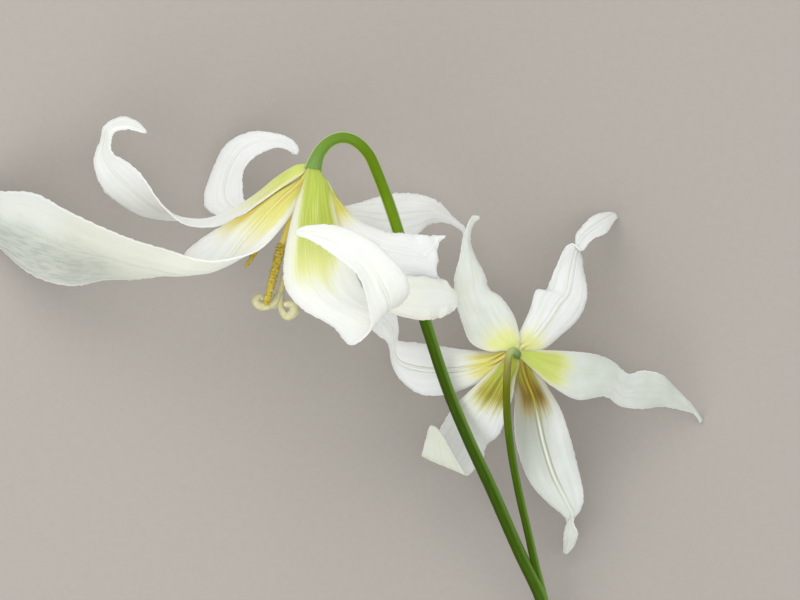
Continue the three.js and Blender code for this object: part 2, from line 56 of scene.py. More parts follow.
class Tint:
    """One output inside a finish. Sums on it add Math nodes, so that a mask is written as a sum."""

    def __init__(self, finish, plug):
        self.finish = finish
        self.plug = plug

    def sum(self, operation, first, second=0.0):
        return self.finish.node("ShaderNodeMath", {"operation": operation}, {0: first, 1: second})

    def __add__(self, other):
        return self.sum("ADD", self, other)

    def __radd__(self, other):
        return self.sum("ADD", other, self)

    def __sub__(self, other):
        return self.sum("SUBTRACT", self, other)

    def __rsub__(self, other):
        return self.sum("SUBTRACT", other, self)

    def __mul__(self, other):
        return self.sum("MULTIPLY", self, other)

    def __rmul__(self, other):
        return self.sum("MULTIPLY", other, self)

    def __truediv__(self, other):
        return self.sum("DIVIDE", self, other)

    def __rtruediv__(self, other):
        return self.sum("DIVIDE", other, self)

    def __abs__(self):
        return self.sum("ABSOLUTE", self)

    def ease(self, low, high):
        """0 at low, 1 at high and smooth between them, whichever is larger."""
        ends = {"From Min": min(low, high), "From Max": max(low, high)}
        ends.update({"To Min": 0.0 if low < high else 1.0, "To Max": 1.0 if low < high else 0.0})
        smooth_step = {"interpolation_type": "SMOOTHSTEP"}
        return self.finish.node("ShaderNodeMapRange", smooth_step, {"Value": self, **ends})


class Finish:
    """A material under construction."""

    def __init__(self, name):
        self.material = bpy.data.materials.new(name)
        self.material.use_nodes = True
        self.tree = self.material.node_tree
        self.tree.nodes.clear()

    def node(self, kind, settings, sockets, want=None):
        """Adds a node: its settings first, then its sockets' values or links. Gives its output."""
        made = self.tree.nodes.new(kind)
        for key, value in settings.items():
            if key == "stops":
                ramp = made.color_ramp
                while len(ramp.elements) < len(value):
                    ramp.elements.new(1.0)
                for stop, (place, colour) in zip(ramp.elements, value):
                    stop.position = place
                    stop.color = colour
            else:
                setattr(made, key, value)
        for key, value in sockets.items():
            if isinstance(key, int):
                socket = made.inputs[key]
            else:
                socket = next(s for s in made.inputs if key in (s.identifier, s.name) and s.enabled)
            if isinstance(value, Tint):
                self.tree.links.new(value.plug, socket)
            else:
                socket.default_value = value
        if want:
            return Tint(self, made.outputs[want])
        outputs = [s for s in made.outputs if s.enabled]
        return Tint(self, outputs[0]) if outputs else None

    def mix(self, first, second, share):
        """The first colour turned toward the second by a share. Each is an output or a swatch."""
        first, second = (c if isinstance(c, Tint) else paint(*c) for c in (first, second))
        sockets = {"Factor_Float": share, "A_Color": first, "B_Color": second}
        return self.node("ShaderNodeMix", {"data_type": "RGBA"}, sockets)

    def noted(self, name):
        """A number that note() wrote on the mesh."""
        return self.node("ShaderNodeAttribute", {"attribute_name": name}, {}, "Fac")

    def noted_parts(self, name, axes):
        """The parts of a vector that note() wrote on the mesh, such as its X and Y."""
        vector = self.node("ShaderNodeAttribute", {"attribute_name": name}, {}, "Vector")
        return [self.node("ShaderNodeSeparateXYZ", {}, {0: vector}, axis) for axis in axes]

    def mottle(self, vector, scale, detail, rough):
        """Noise from 0 to 1 over a vector."""
        sockets = {"Vector": vector, "Scale": scale, "Detail": detail, "Roughness": rough}
        return self.node("ShaderNodeTexNoise", {"noise_dimensions": "3D"}, sockets, "Fac")

    def place(self):
        """Where a point lies, in metres."""
        return self.node("ShaderNodeTexCoord", {}, {}, "Object")

    def lay(self, along, across, deep=0.0):
        """A vector made of three numbers."""
        return self.node("ShaderNodeCombineXYZ", {}, {"X": along, "Y": across, "Z": deep})

    def grain(self, height, strength, distance):
        """Relief finer than the mesh."""
        sockets = {"Height": height, "Strength": strength, "Distance": distance}
        return self.node("ShaderNodeBump", {}, sockets)

    def done(self, **sockets):
        """Closes the finish with one Principled surface."""
        plain = {key.replace("_", " "): value for key, value in sockets.items()}
        surface = self.node("ShaderNodeBsdfPrincipled", {}, plain, "BSDF")
        self.node("ShaderNodeOutputMaterial", {}, {"Surface": surface})
        return self.material


def make(name, points, faces, material):
    """A smooth mesh object from points in metres."""
    mesh = bpy.data.meshes.new(name)
    mesh.from_pydata([tuple(p) for p in points], [], [tuple(f) for f in faces])
    mesh.polygons.foreach_set("use_smooth", [True] * len(mesh.polygons))
    mesh.materials.append(material)
    piece = bpy.data.objects.new(name, mesh)
    bpy.context.scene.collection.objects.link(piece)
    return piece


card = Finish("pale_card")
pulp = card.mottle(card.place(), 900.0, 3.0, 0.6)
card_finish = card.done(Base_Color=card.mix(TABLE_DARK, TABLE_PALE, pulp), Roughness=0.9,
                        Normal=card.grain(pulp, 0.15, 0.0002), Specular_IOR_Level=0.2)
half = TABLE_WIDE / 2
table_corners = [(-half, -half, 0), (half, -half, 0), (half, half, 0), (-half, half, 0)]
table = make("table", table_corners, [(0, 1, 2, 3)], card_finish)


# The studio: a soft lamp beyond the blooms and weaker ones to the right, overhead and at the foot,
# in a pale room. The camera hangs straight over the stem, as far off as the picture was taken from.

CAMERA_OVER = (0.0114, 0.0511, 1.52505)
SENSOR = 36.0
# in mm: what the picture spans at the blooms' level, and how far above it the camera is
SEEN_WIDE, SEEN_FROM = 128.0, 1500.0
BLOOMS_MIDDLE = (0.0, 0.045, 0.03)


def lamp(name, spot, wide, watts, colour):
    """A soft square lamp at a spot, turned to the blooms."""
    light = bpy.data.lights.new(name, "AREA")
    light.size = wide
    light.energy = watts
    light.color = colour
    holder = bpy.data.objects.new(name, light)
    holder.location = spot
    way = np.array(BLOOMS_MIDDLE) - np.array(spot)
    flat = math.hypot(way[0], way[1])
    holder.rotation_euler = (math.atan2(flat, -way[2]), 0, math.atan2(way[1], way[0]) - math.pi / 2)
    bpy.context.scene.collection.objects.link(holder)


lamp("window", (-0.2, 0.5, 0.46), wide=0.6, watts=2.2, colour=(1.0, 1.0, 0.98))
lamp("side_window", (0.45, 0.1, 0.5), wide=0.4, watts=0.5, colour=(1.0, 1.0, 0.97))
lamp("front_window", (0.02, -0.02, 1.1), wide=0.5, watts=1.7, colour=(0.98, 1.0, 0.98))
lamp("foot_window", (-0.26, -0.36, 0.4), wide=0.5, watts=1.6, colour=(0.98, 1.0, 0.99))

room = bpy.data.worlds.new("pale_room")
room.use_nodes = True
walls = room.node_tree.nodes["Background"].inputs
walls["Color"].default_value = (0.97, 1.0, 0.98, 1.0)
walls["Strength"].default_value = 0.62
bpy.context.scene.world = room
bpy.context.scene.view_settings.view_transform = "Standard"

camera_data = bpy.data.cameras.new("camera")
camera_data.sensor_width = SENSOR
camera_data.lens = SENSOR * SEEN_FROM / SEEN_WIDE
camera_data.clip_start = 0.05
camera_data.clip_end = 20.0
camera = bpy.data.objects.new("camera", camera_data)
camera.location = CAMERA_OVER
bpy.context.scene.collection.objects.link(camera)
bpy.context.scene.camera = camera


# The scape: one fleshy green stalk, cut square at the foot, that forks into two thinner stalks.
# Each arches over and flares into the receptacle of a nodding bloom. It is one growth, so both
# stalks are skinned as smooth tapering tubes that run into each other at the fork.

MM = 0.001
# from the drawing's zero, between the two blooms, to the middle of the footprint, in mm
DRAWING_ZERO = np.array([11.4, 51.1, 0.05])
STALK = [
    # x, y, z, radius
    (-13.9, 20.75, 27, 1.52),
    (-13.45, 22.3, 27, 1.24),
    (-12.65, 23.9, 27.15, 1.06),
    (-11.2, 25.3, 27.45, 0.98),
    (-9.2, 25.95, 27.75, 0.95),
    (-7.2, 25.4, 27.75, 0.95),
    (-5.5, 23.9, 27.4, 0.95),
    (-4.2, 21.7, 27, 0.95),
    (-1.4, 14.4, 25, 0.95),
    (1.5, 5, 22.5, 0.95),
    (4.5, -4.8, 20.2, 0.95),
    (7.7, -14.4, 18.8, 0.95),
    (11.2, -22.8, 16.8, 0.97),
    (14.8, -30.5, 13, 1),
    (19.1, -40.3, 8.6, 1),
    (22.9, -48.4, 6, 1.05),
    (25.8, -58, 3.8, 1.25),
    (28.8, -75, 2, 1.35),
    (30.8, -95, 1.4, 1.4),
    (31.8, -115, 1.4, 1.4),
    (32.3, -132, 1.4, 1.4),
]
THIN_STALK = [
    (18.7, -8.75, 22.8, 0.72),
    (18.6, -8.5, 24.5, 0.62),
    (18.05, -8.1, 25.7, 0.61),
    (17.4, -8.95, 26.4, 0.6),
    (17.1, -11.6, 26, 0.6),
    (17.05, -15.4, 24.2, 0.61),
    (17.25, -19.6, 21.4, 0.62),
    (17.9, -24.6, 18, 0.63),
    (19.1, -30.8, 14.2, 0.65),
    (20.6, -37.2, 10.6, 0.66),
    (22, -43.3, 7.4, 0.68),
    (23.4, -48.8, 5.4, 0.7),
    (24.7, -54.3, 4.5, 0.7),
]
STALK_SIDES = 32


def smooth(points, shares):
    """A smooth line through the points, read at shares of its run."""
    given = np.array(points, float)
    given = np.vstack([2 * given[0] - given[1], given, 2 * given[-1] - given[-2]])
    reach = np.clip(shares, 0, 1) * (len(given) - 3)
    first = np.minimum(reach.astype(int), len(given) - 4)
    part = (reach - first)[:, None]
    p, q, r, s = (given[first + k] for k in range(4))
    bend = 2 * p - 5 * q + 4 * r - s + part * (3 * (q - r) + s - p)
    return q + 0.5 * part * (r - p + part * bend)


def unit(vectors):
    return vectors / np.maximum(np.linalg.norm(vectors, axis=-1, keepdims=True), 1e-9)


def ripple(run, seed, longest, shortest, waves=9):
    """An even wander between about -1 and 1 along a run, of mixed wavelengths."""
    chance = np.random.default_rng(seed)
    lengths = np.geomspace(longest, shortest, waves)
    turns = chance.uniform(0, 2 * np.pi, waves)
    sizes = (lengths / longest) ** 0.4
    total = sum(a * np.sin(2 * np.pi * run / w + c) for a, w, c in zip(sizes, lengths, turns))
    return total / (1.4 * math.sqrt((sizes**2).sum()))


def run_along(line):
    """How far along a line each of its points is."""
    return np.concatenate([[0], np.cumsum(np.linalg.norm(np.diff(line, axis=0), axis=1))])


def to_metres(points):
    return (np.asarray(points, float) + DRAWING_ZERO) * MM


def note(piece, name, values):
    """Writes numbers or vectors on a mesh's points, for its finish to read."""
    values = np.asarray(values, np.float32)
    kind = "FLOAT_VECTOR" if values.ndim > 1 else "FLOAT"
    layer = piece.data.attributes.new(name, kind, "POINT")
    layer.data.foreach_set("vector" if values.ndim > 1 else "value", values.ravel())


def tube(rows, sides, rings, shape):
    """Rings round a smooth line. Gives points in mm, faces and each point's run along the line.
    A shape, if any, changes the radius by the run and by the turn about the line."""
    rows = np.array(rows, float)
    shares = np.linspace(0, 1, rings)
    line = smooth(rows[:, :3], shares)
    radius = smooth(rows[:, 3:4], shares)[:, 0]
    forward = unit(np.gradient(line, axis=0))
    across = np.zeros_like(line)
    hold = np.array([0.0, 0.0, 1.0]) if abs(forward[0][2]) < 0.9 else np.array([1.0, 0.0, 0.0])
    for i in range(rings):
        hold = unit(hold - forward[i] * hold.dot(forward[i]))
        across[i] = hold
    other = np.cross(forward, across)
    turn = np.linspace(0, 2 * np.pi, sides, endpoint=False)
    run = run_along(line)
    wide = radius[:, None] * np.ones(sides)
    if shape:
        wide = shape(run[:, None], turn, wide)
    ring = across[:, None] * np.cos(turn)[:, None] + other[:, None] * np.sin(turn)[:, None]
    points = line[:, None] + ring * wide[..., None]
    faces = []
    for i in range(rings - 1):
        for k in range(sides):
            a, b = i * sides + k, i * sides + (k + 1) % sides
            faces.append((a, b, b + sides, a + sides))
    faces.append(tuple(range(sides - 1, -1, -1)))
    last = (rings - 1) * sides
    faces.append(tuple(range(last, last + sides)))
    return points.reshape(-1, 3), faces, np.repeat(run, sides)


def stalk_skin(run, turn, wide):
    """Faint lengthwise ribs and slow swellings of a fleshy stalk, as shares of its radius."""
    ribs = 0.012 * np.cos(7 * turn + 0.02 * run) + 0.006 * np.cos(13 * turn)
    swell = 0.012 * ripple(run, 4, 14, 3)
    return wide * (1 + ribs + swell)


def stalk_finish(name, seed, tones, rim):
    """Green skin in tones down the run, with lengthwise streaks and a pale dust near the top. One
    flank carries painted light and a painted highlight at its edge, and the other painted shade.
    Rim says how strong a painted highlight along both edges is at the top."""
    skin = Finish(name)
    run = skin.noted("run")
    top, flank = skin.noted_parts("turn", "XY")
    stops = [(place, paint(*swatch)) for place, swatch in tones]
    tone = skin.node("ShaderNodeValToRGB", {"stops": stops}, {"Fac": run / TONES_LONG}, "Color")
    streak = skin.mottle(skin.lay(run * 0.12 + seed, top * 4.0, flank * 4.0), 3.0, 3.0, 0.6)
    dust = skin.mottle(skin.lay(run * 2.2 + seed, top * 5.0, flank * 5.0), 4.0, 4.0, 0.7)
    tone = skin.mix(tone, (40, 62, 6), streak.ease(0.5, 0.75) * 0.3)
    tone = skin.mix(tone, (150, 180, 76), streak.ease(0.5, 0.25) * 0.14)
    tone = skin.mix(tone, (196, 214, 170), dust.ease(0.58, 0.72) * run.ease(9.0, 1.0) * 0.5)
    # painted shade on one flank and painted light on the other, both stronger lower down; then a
    # painted highlight along both edges at the top, as strong as rim, and along the lit edge lower
    # down
    lower = run.ease(8.0, 40.0)
    tone = skin.mix(tone, (44, 58, 2), flank.ease(0.15, 0.8) * lower * 0.5)
    tone = skin.mix(tone, (112, 144, 66), flank.ease(-0.1, -0.85) * (0.25 + 0.65 * lower))
    painted_rim_highlight = abs(flank).ease(0.78, 0.96) * run.ease(42.0, 26.0) * rim
    tone = skin.mix(tone, (200, 212, 154), painted_rim_highlight)
    tone = skin.mix(tone, (150, 172, 118), flank.ease(-0.85, -1.0) * lower * 0.7)
    relief = skin.grain(streak * 0.7 + dust * 0.3, 0.35, 0.0001)
    return skin.done(Base_Color=tone, Roughness=0.42 + 0.18 * dust, Normal=relief,
                     Specular_IOR_Level=0.06, Sheen_Weight=0.15, Sheen_Roughness=0.3,
                     Sheen_Tint=paint(170, 200, 110), Subsurface_Weight=0.1,
                     Subsurface_Radius=(0.6, 1.0, 0.2), Subsurface_Scale=0.0006)


def stalk(name, rows, rings, material):
    points, faces, run = tube(rows, STALK_SIDES, rings, stalk_skin)
    piece = make(name, to_metres(points), faces, material)
    note(piece, "run", run)
    ringed = points.reshape(-1, STALK_SIDES, 3)
    centre = ringed.mean(1, keepdims=True)
    left = unit(np.cross(unit(np.gradient(centre, axis=0)), (0.0, 0.0, 1.0)))
    out = unit(ringed - centre)
    turned = np.stack([out[..., 2], (out * left).sum(2), out[..., 2] * 0], 2)
    note(piece, "turn", turned.reshape(-1, 3))
    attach(piece, "root")
    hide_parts("stem")


# swatches down the run, each at its share of a length in mm
TONES_LONG = 160.0
# the main stalk darkens down its run: partly its own deeper green, partly painted shade of the
# lower stalk
THICK_TONES = [
    (0.0, (118, 150, 84)),
    (0.03, (106, 138, 50)),
    (0.08, (92, 120, 6)),
    (0.16, (112, 144, 20)),
    (0.25, (64, 94, 0)),
    (0.36, (48, 74, 0)),
    (0.8, (62, 90, 10)),
    (1.0, (104, 126, 46)),
]
# the thin stalk's dark teal at the very top is painted shade where it joins the receptacle
THIN_TONES = [
    (0.0, (66, 104, 64)),
    (0.012, (116, 148, 98)),
    (0.022, (174, 188, 120)),
    (0.034, (146, 138, 74)),
    (0.06, (100, 102, 14)),
    (0.12, (64, 90, 0)),
    (0.35, (46, 70, 0)),
    (1.0, (56, 84, 4)),
]
thick_skin = stalk_finish("scape_skin", seed=0.0, tones=THICK_TONES, rim=0.85)
stalk("scape", STALK, rings=520, material=thick_skin)
thin_skin = stalk_finish("thin_scape_skin", seed=7.0, tones=THIN_TONES, rim=0.0)
stalk("thin_scape", THIN_STALK, rings=220, material=thin_skin)


# The older bloom's tepals: six thin white blades, three outer and three inner, each on a narrow
# claw on the receptacle. They grow flat and then curl back, so each is skinned between its two
# margins, row by row from the claw, over a raised midrib, with a crimped edge.


class Bloom:
    """Where a receptacle sits, which way its bloom points, and the two directions across it."""

    def __init__(self, at, axis, ahead):
        self.at = np.array(at, float)
        self.axis = unit(np.array(axis, float))
        ahead = np.array(ahead, float)
        self.ahead = unit(ahead - self.axis * ahead.dot(self.axis))
        self.side = -np.cross(self.axis, self.ahead)

    def spot(self, along, side, ahead):
        return self.at + self.axis * along + self.side * side + self.ahead * ahead


OLDER = Bloom((-13.9, 20.8, 27), (-0.26, -0.965, 0), (0, 0, 1))
COLUMNS = 56
RINGS = 190
WAVE_HEIGHT = 0.22
WAVES = 5
PLEATS = 5.2
# half a tepal's thickness in mm: at its margins, what its middle adds and what its claw adds
MARGIN_THICK, MIDDLE_THICK, CLAW_THICK = 0.12, 0.13, 0.08
MARGIN_ROUND = 0.07
# in mm: the midrib's half width on the back and the face, and the grooves beside it on the back
RIB_BACK, RIB_FACE = 0.16, 0.4
GROOVE_OFF, GROOVE_WIDE = 0.38, 0.2


def ease(value, low, high):
    """A finish's ease, on numbers."""
    part = np.clip((value - low) / (high - low), 0, 1)
    return part * part * (3 - 2 * part)


def tepal(name, rows, material, seed, phase, keel=0.03, pleat=0.02, crimp=0.1):
    """A closed thin skin on a row table, with columns that crowd at the midrib. Keel and pleat are
    the height of its relief, and crimp that of its margin, in mm. Phase starts its slow waves."""
    first, other = [row[:3] for row in rows], [row[3:6] for row in rows]
    stand = [(*row[6:], 0, 0)[:2] for row in rows]
    shares = np.linspace(0, 1, RINGS)
    a, b, lift = smooth(first, shares), smooth(other, shares), smooth(stand, shares)
    middle, halfway = (a + b) / 2, (a - b) / 2
    half_wide = np.linalg.norm(halfway, axis=1)[:, None]
    ahead, behind = np.minimum(1, shares + 0.01), np.maximum(0, shares - 0.01)
    forward = (smooth(first, ahead) + smooth(other, ahead)
               - smooth(first, behind) - smooth(other, behind)) / 2
    back = unit(np.cross(forward, halfway))
    x = np.linspace(-1, 1, COLUMNS)
    u = x * (0.5 + 0.5 * x * x)
    bow = 1 - u * u
    run = run_along(middle)[:, None]
    t = shares[:, None]
    fade = ease(t, 0.2, 0.45) * ease(1 - t, 0, 0.12)
    wave = np.sin(2 * np.pi * WAVES * t + phase + 1.9 * np.sign(u)) * np.abs(u) ** 3
    ruffle = ripple(run + 40 * np.sign(u), seed, 3.0, 0.9) * np.abs(u) ** 6
    rise = lift[:, :1] * bow + (WAVE_HEIGHT * wave + 0.5 * crimp * ruffle) * fade
    nick = ripple(run + 60 * np.sign(u), seed + 1, 2.2, 0.5) * np.abs(u) ** 10
    nick = np.sign(u) * crimp * nick * fade / np.maximum(half_wide, 1.0)
    spread = u + lift[:, 1:2] * bow + nick
    sheet = middle[:, None] + halfway[:, None] * spread[..., None] + back[:, None] * rise[..., None]

    along = np.gradient(sheet, axis=0)
    side = np.gradient(sheet, axis=1)
    normal = unit(np.cross(along, side))
    off_rib = np.abs(u) * half_wide
    strong = ease(t, 0.03, 0.12) * ease(1 - t, 0.0, 0.25)
    groove = np.exp(-(((off_rib - GROOVE_OFF) / GROOVE_WIDE) ** 2))
    ridge = np.exp(-((off_rib / RIB_BACK) ** 2)) - 0.6 * groove
    pleats = np.cos(u * np.pi * PLEATS + 0.5 * seed) * (1 - np.abs(u) ** 4)
    pleats = pleat * (pleats * ease(half_wide, 1.2, 3.5)) * strong
    back_relief = keel * ridge * strong + pleats
    face_relief = 0.7 * keel * np.exp(-((off_rib / RIB_FACE) ** 2)) * strong + pleats
    thick = (MARGIN_THICK + MIDDLE_THICK * (1 - np.abs(u) ** 5)) * (1 - 0.25 * t)
    thick = thick + CLAW_THICK * np.exp(-((t / 0.05) ** 2))
    rear = sheet + normal * (thick + back_relief)[..., None]
    face = sheet - normal * (thick - face_relief)[..., None]

    # the margin all round, from the tip's end, as ring and column
    loop = [(RINGS - 1, k) for k in range(COLUMNS)]
    loop += [(i, COLUMNS - 1) for i in range(RINGS - 2, -1, -1)]
    loop += [(0, k) for k in range(COLUMNS - 2, -1, -1)]
    loop += [(i, 0) for i in range(1, RINGS - 1)]
    count = RINGS * COLUMNS
    rim_points = []
    for i, k in loop:
        push = unit(halfway[i]) * np.sign(u[k]) if k in (0, COLUMNS - 1) else 0
        rim_points.append((rear[i, k] + face[i, k]) / 2 + push * MARGIN_ROUND)
    points = np.vstack([rear.reshape(-1, 3), face.reshape(-1, 3), rim_points])
    faces = []
    for i in range(RINGS - 1):
        for k in range(COLUMNS - 1):
            p = i * COLUMNS + k
            faces.append((p, p + COLUMNS, p + COLUMNS + 1, p + 1))
            faces.append((count + p, count + p + 1, count + p + COLUMNS + 1, count + p + COLUMNS))
    rim = 2 * count
    for j, (i, k) in enumerate(loop):
        i2, k2 = loop[(j + 1) % len(loop)]
        p, q = i * COLUMNS + k, i2 * COLUMNS + k2
        r, s = rim + j, rim + (j + 1) % len(loop)
        faces.append((p, r, s, q))
        faces.append((r, count + p, count + q, s))
    piece = make("blade_" + name, to_metres(points), faces, material)
    flat = np.stack(np.broadcast_arrays(u, run, half_wide), 2).reshape(-1, 3)
    rim_flat = flat[[i * COLUMNS + k for i, k in loop]]
    note(piece, "lay", np.vstack([flat, flat, rim_flat]))
    note(piece, "rear", np.repeat([1, 0, 0.5], [count, count, len(loop)]))
    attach(piece, "root")
    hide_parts(name.replace("_fold", ""))


def tepal_finish(name, seed, tones, reach, wide, fade=4.0, lines=0.5, twin=None, keel_pale=0.0,
                 full=1.0, rim=0.84, inside=9.0, lean=0.0, drift=0.0, painted_cover_shadow=0.0, margin=0.6,
                 shade=0.0, soften=0.4, pale_from=0.7, painted_far_shading=0.0, painted_inner_shade=0.0, ground=(254, 254, 249)):
    """White with fine veins. The back has a green or yellow patch, reach mm long and wide mm to
    each side, that ends in streaks. Rim is the share of the half width that it may fill, and lean
    moves it to one margin, or drift to the other near its end. Shade paints grey shade over the
    tepal past it. The far-half shading paints shade over the far half, with a lighter painted
    tip, and the inner shading paints shade over the inner face, whose own patch ends inside mm
    out. Twin is a pair of streaks by the midrib, and the cover shadow a golden painted shadow at
    a margin that the next tepal covers."""
    skin = Finish(name)
    u, run, half_wide = skin.noted_parts("lay", "XYZ")
    off = abs(u) * half_wide
    is_rear = skin.noted("rear").ease(0.55, 0.95)

    fine = skin.mottle(skin.lay(run * 0.06 + seed, u * 26.0, seed), 1.0, 2.0, 0.6)
    soft = skin.mottle(skin.lay(run * 0.08 + seed, u * 5.0, seed + 3.0), 1.0, 2.0, 0.5)
    slant = skin.mottle(skin.lay(run * 0.25 - abs(u) * 6.0 + seed, u * 7.0, seed), 1.6, 3.0, 0.6)
    cloud = skin.mottle(skin.lay(run * 0.12 + seed, u * half_wide * 0.15, seed), 1.0, 3.0, 0.5)

    white = skin.mix(ground, (232, 240, 236), cloud.ease(0.35, 0.65) * 0.5)
    # broad grey streaks: painted shade of the pleats, as strong as soften; the fine lines and
    # feathering after them are veins
    white = skin.mix(white, (204, 210, 196), soft.ease(0.46, 0.66) * soften)
    white = skin.mix(white, (214, 220, 206), fine.ease(0.54, 0.7) * (0.12 + 0.4 * soften))
    feather = slant.ease(0.5, 0.7) * abs(u).ease(0.35, 0.9)
    white = skin.mix(white, (208, 215, 208), feather * (0.1 + 0.4 * soften))
    # painted shade: the white greyed near the claw and past the patch, fading out by 2.6 reaches,
    # more toward the second margin
    if shade:
        grey = run.ease(reach * 2.6, reach * 0.9) * u.ease(0.9, -0.2)
        white = skin.mix(white, (160, 163, 156), grey * shade)
    # painted shade over the far half of the tepal, a lighter painted tip beyond 46 mm, and deeper
    # painted shade toward the second margin further out
    if painted_far_shading:
        far = (run + u * 6.0).ease(14.0, 34.0)
        white = skin.mix(white, (201, 202, 187), far * 0.85 * painted_far_shading)
        white = skin.mix(white, (224, 231, 225), run.ease(46.0, 56.0) * 0.6 * painted_far_shading)
        low = (u + (cloud - 0.5) * 0.7).ease(0.5, -0.3) * run.ease(33.0, 44.0)
        low = low * (0.7 + 0.3 * slant.ease(0.38, 0.64))
        white = skin.mix(white, (168, 172, 166), low * painted_far_shading)
    white = skin.mix(white, (252, 252, 246), abs(u).ease(0.93, 1.0) * 0.6)

    end = reach + (fine - 0.5) * fade * 1.6 + (soft - 0.5) * fade * 0.6
    end = end - abs(u) * abs(u) * reach * 0.08
    lengthways = (end - run).ease(-fade * 0.7, fade * 0.5)
    aside = u - lean
    if drift:
        aside = aside + drift * run.ease(reach * 0.5, reach * 1.1)
    aside = abs(aside)
    sideways = (aside * half_wide + (fine - 0.5) * 0.6).ease(wide + 1.0, wide - 0.7)
    fill = aside + (fine - 0.5) * 0.1 - 0.4 * run.ease(reach * 0.4, 0.0)
    sideways = sideways * fill.ease(rim + 0.25, rim - 0.25)
    patch = lengthways * (0.35 + 0.65 * sideways) * full
    patch_colour = skin.mix(tones[0], tones[1], run.ease(reach * 0.25, reach * 0.8))
    patch_colour = skin.mix(patch_colour, tones[2], fine.ease(0.5, 0.66) * lines)
    patch_colour = skin.mix(patch_colour, tones[2], soft.ease(0.46, 0.64) * lines * 0.5)
    patch_colour = skin.mix(patch_colour, tones[3], fine.ease(0.44, 0.32) * 0.6)
    patch_colour = skin.mix(patch_colour, tones[3], run.ease(reach * pale_from, reach * 1.1) * 0.75)
    patch_colour = skin.mix(patch_colour, tones[3], (1 - sideways) * 0.9)
    back = skin.mix(white, patch_colour, patch)
    edge = abs(u).ease(0.84, 0.97) * run.ease(reach * 1.1, reach * 0.5)
    back = skin.mix(back, (232, 218, 192), edge * margin)
    # painted shadow of the next tepal, golden where light comes through it, along one margin near
    # the claw
    if painted_cover_shadow:
        band = (u + (soft - 0.5) * 0.2).ease(-0.42, -0.8) * run.ease(22.0, 13.0)
        back = skin.mix(back, (204, 186, 84), band * painted_cover_shadow)
    if twin:
        start, stop, redness = twin
        pair = abs(off + run * 0.015 - 0.46).ease(0.2, 0.05)
        pair = pair * (run + fine * 2).ease(start, start + 1.5)
        pair = pair * (run + fine * 3).ease(stop + 2.5, stop) * soft.ease(0.3, 0.5)
        back = skin.mix(back, redness, pair * 0.85)
    if keel_pale:
        pale = off.ease(0.22, 0.1) * run.ease(1.0, 3.0)
        ridge = skin.mix(tones[0], (224, 228, 208), run.ease(reach * 0.8, reach * 1.3))
        back = skin.mix(back, ridge, pale * keel_pale)
        # painted shade in the grooves beside the midrib
        groove = abs(off - 0.38).ease(0.17, 0.03) * run.ease(reach * 0.7, reach * 1.2)
        back = skin.mix(back, (150, 154, 128), groove * keel_pale * run.ease(31.0, 21.0) * 0.8)

    inner_end = inside + (fine - 0.5) * 5.0 - abs(u) * 2.0
    inner_patch = (inner_end - run).ease(-2.0, 2.5)
    inner_colour = skin.mix((224, 212, 96), (206, 206, 92), fine.ease(0.5, 0.62))
    # painted shade: the inner face greyed
    front = skin.mix(white, (192, 195, 178), painted_inner_shade)
    front = skin.mix(front, inner_colour, inner_patch * 0.9)
    fleck = skin.mottle(skin.lay(run * 1.4 + seed, u * 9.0, seed), 1.0, 2.0, 0.6)
    band = abs(run - inside * 0.55).ease(1.1, 0.3) * fleck.ease(0.5, 0.6)
    front = skin.mix(front, (168, 120, 48), band * 0.45)
    # painted shade: grey lines beside the midrib's crease on the inner face
    crease = abs(off - 0.32).ease(0.26, 0.04) * soft.ease(0.35, 0.6)
    front = skin.mix(front, (198, 204, 188), crease * 0.45)
    colour = skin.mix(front, back, is_rear)

    height = fine * 0.6 + soft * 0.5 + slant * abs(u).ease(0.3, 0.9) * 0.5
    relief = skin.grain(height, 0.45, 0.0002)
    return skin.done(Base_Color=colour, Roughness=0.5 + 0.12 * cloud, Normal=relief,
                     Specular_IOR_Level=0.35, Subsurface_Weight=0.85,
                     Subsurface_Radius=(1.0, 0.97, 0.85), Subsurface_Scale=0.0018)


# Rows from the foot of the claw to the tip, in the drawing's mm: x, y and z on one margin and on
# the other, how far the midrib stands out and how far it leans to the first margin, 0 if left out.
OLDER_FRONT = [
    (-12.9, 20.5, 27.9, -14.8, 21, 27.9, 0.1),
    (-12.3, 19.7, 28.9, -15, 20, 28.9, 0.4),
    (-11.5, 18.4, 30.3, -15.5, 18.2, 30.5, 0.8),
    (-10.7, 15.4, 33.2, -16.6, 14.9, 33.4, 1.2),
    (-9.5, 11, 36.8, -17.7, 10.5, 36.8, 1.6),
    (-7.6, 5.8, 40.8, -18.4, 5.5, 40.2, 1.4),
    (-6, 1.9, 43.6, -18, 1.8, 42.4, 1.2),
    (-3.5, -0.5, 46.2, -15.1, -1.7, 44.6, 1),
    (-0.7, -1.2, 49.2, -10.5, -4.3, 47, 0.8),
    (1.2, 0.4, 52.2, -7.9, -6.9, 50, 0.4),
    (1.2, 2.8, 54.8, -4.7, -4.8, 53.4, 0.2),
    (-0.7, 5.8, 56.4, -4.9, -1.3, 56, 0.2),
    (-4.8, 9.6, 57.4, -6.6, 3.8, 57.6, 0.4),
    (-10.2, 11.6, 57.4, -10.8, 7.3, 57.8, 0.4),
    (-14.6, 11.6, 56.4, -14.1, 9.4, 56.8, 0.2),
    (-16.4, 10.9, 55.6, -16.2, 10.1, 55.6),
]
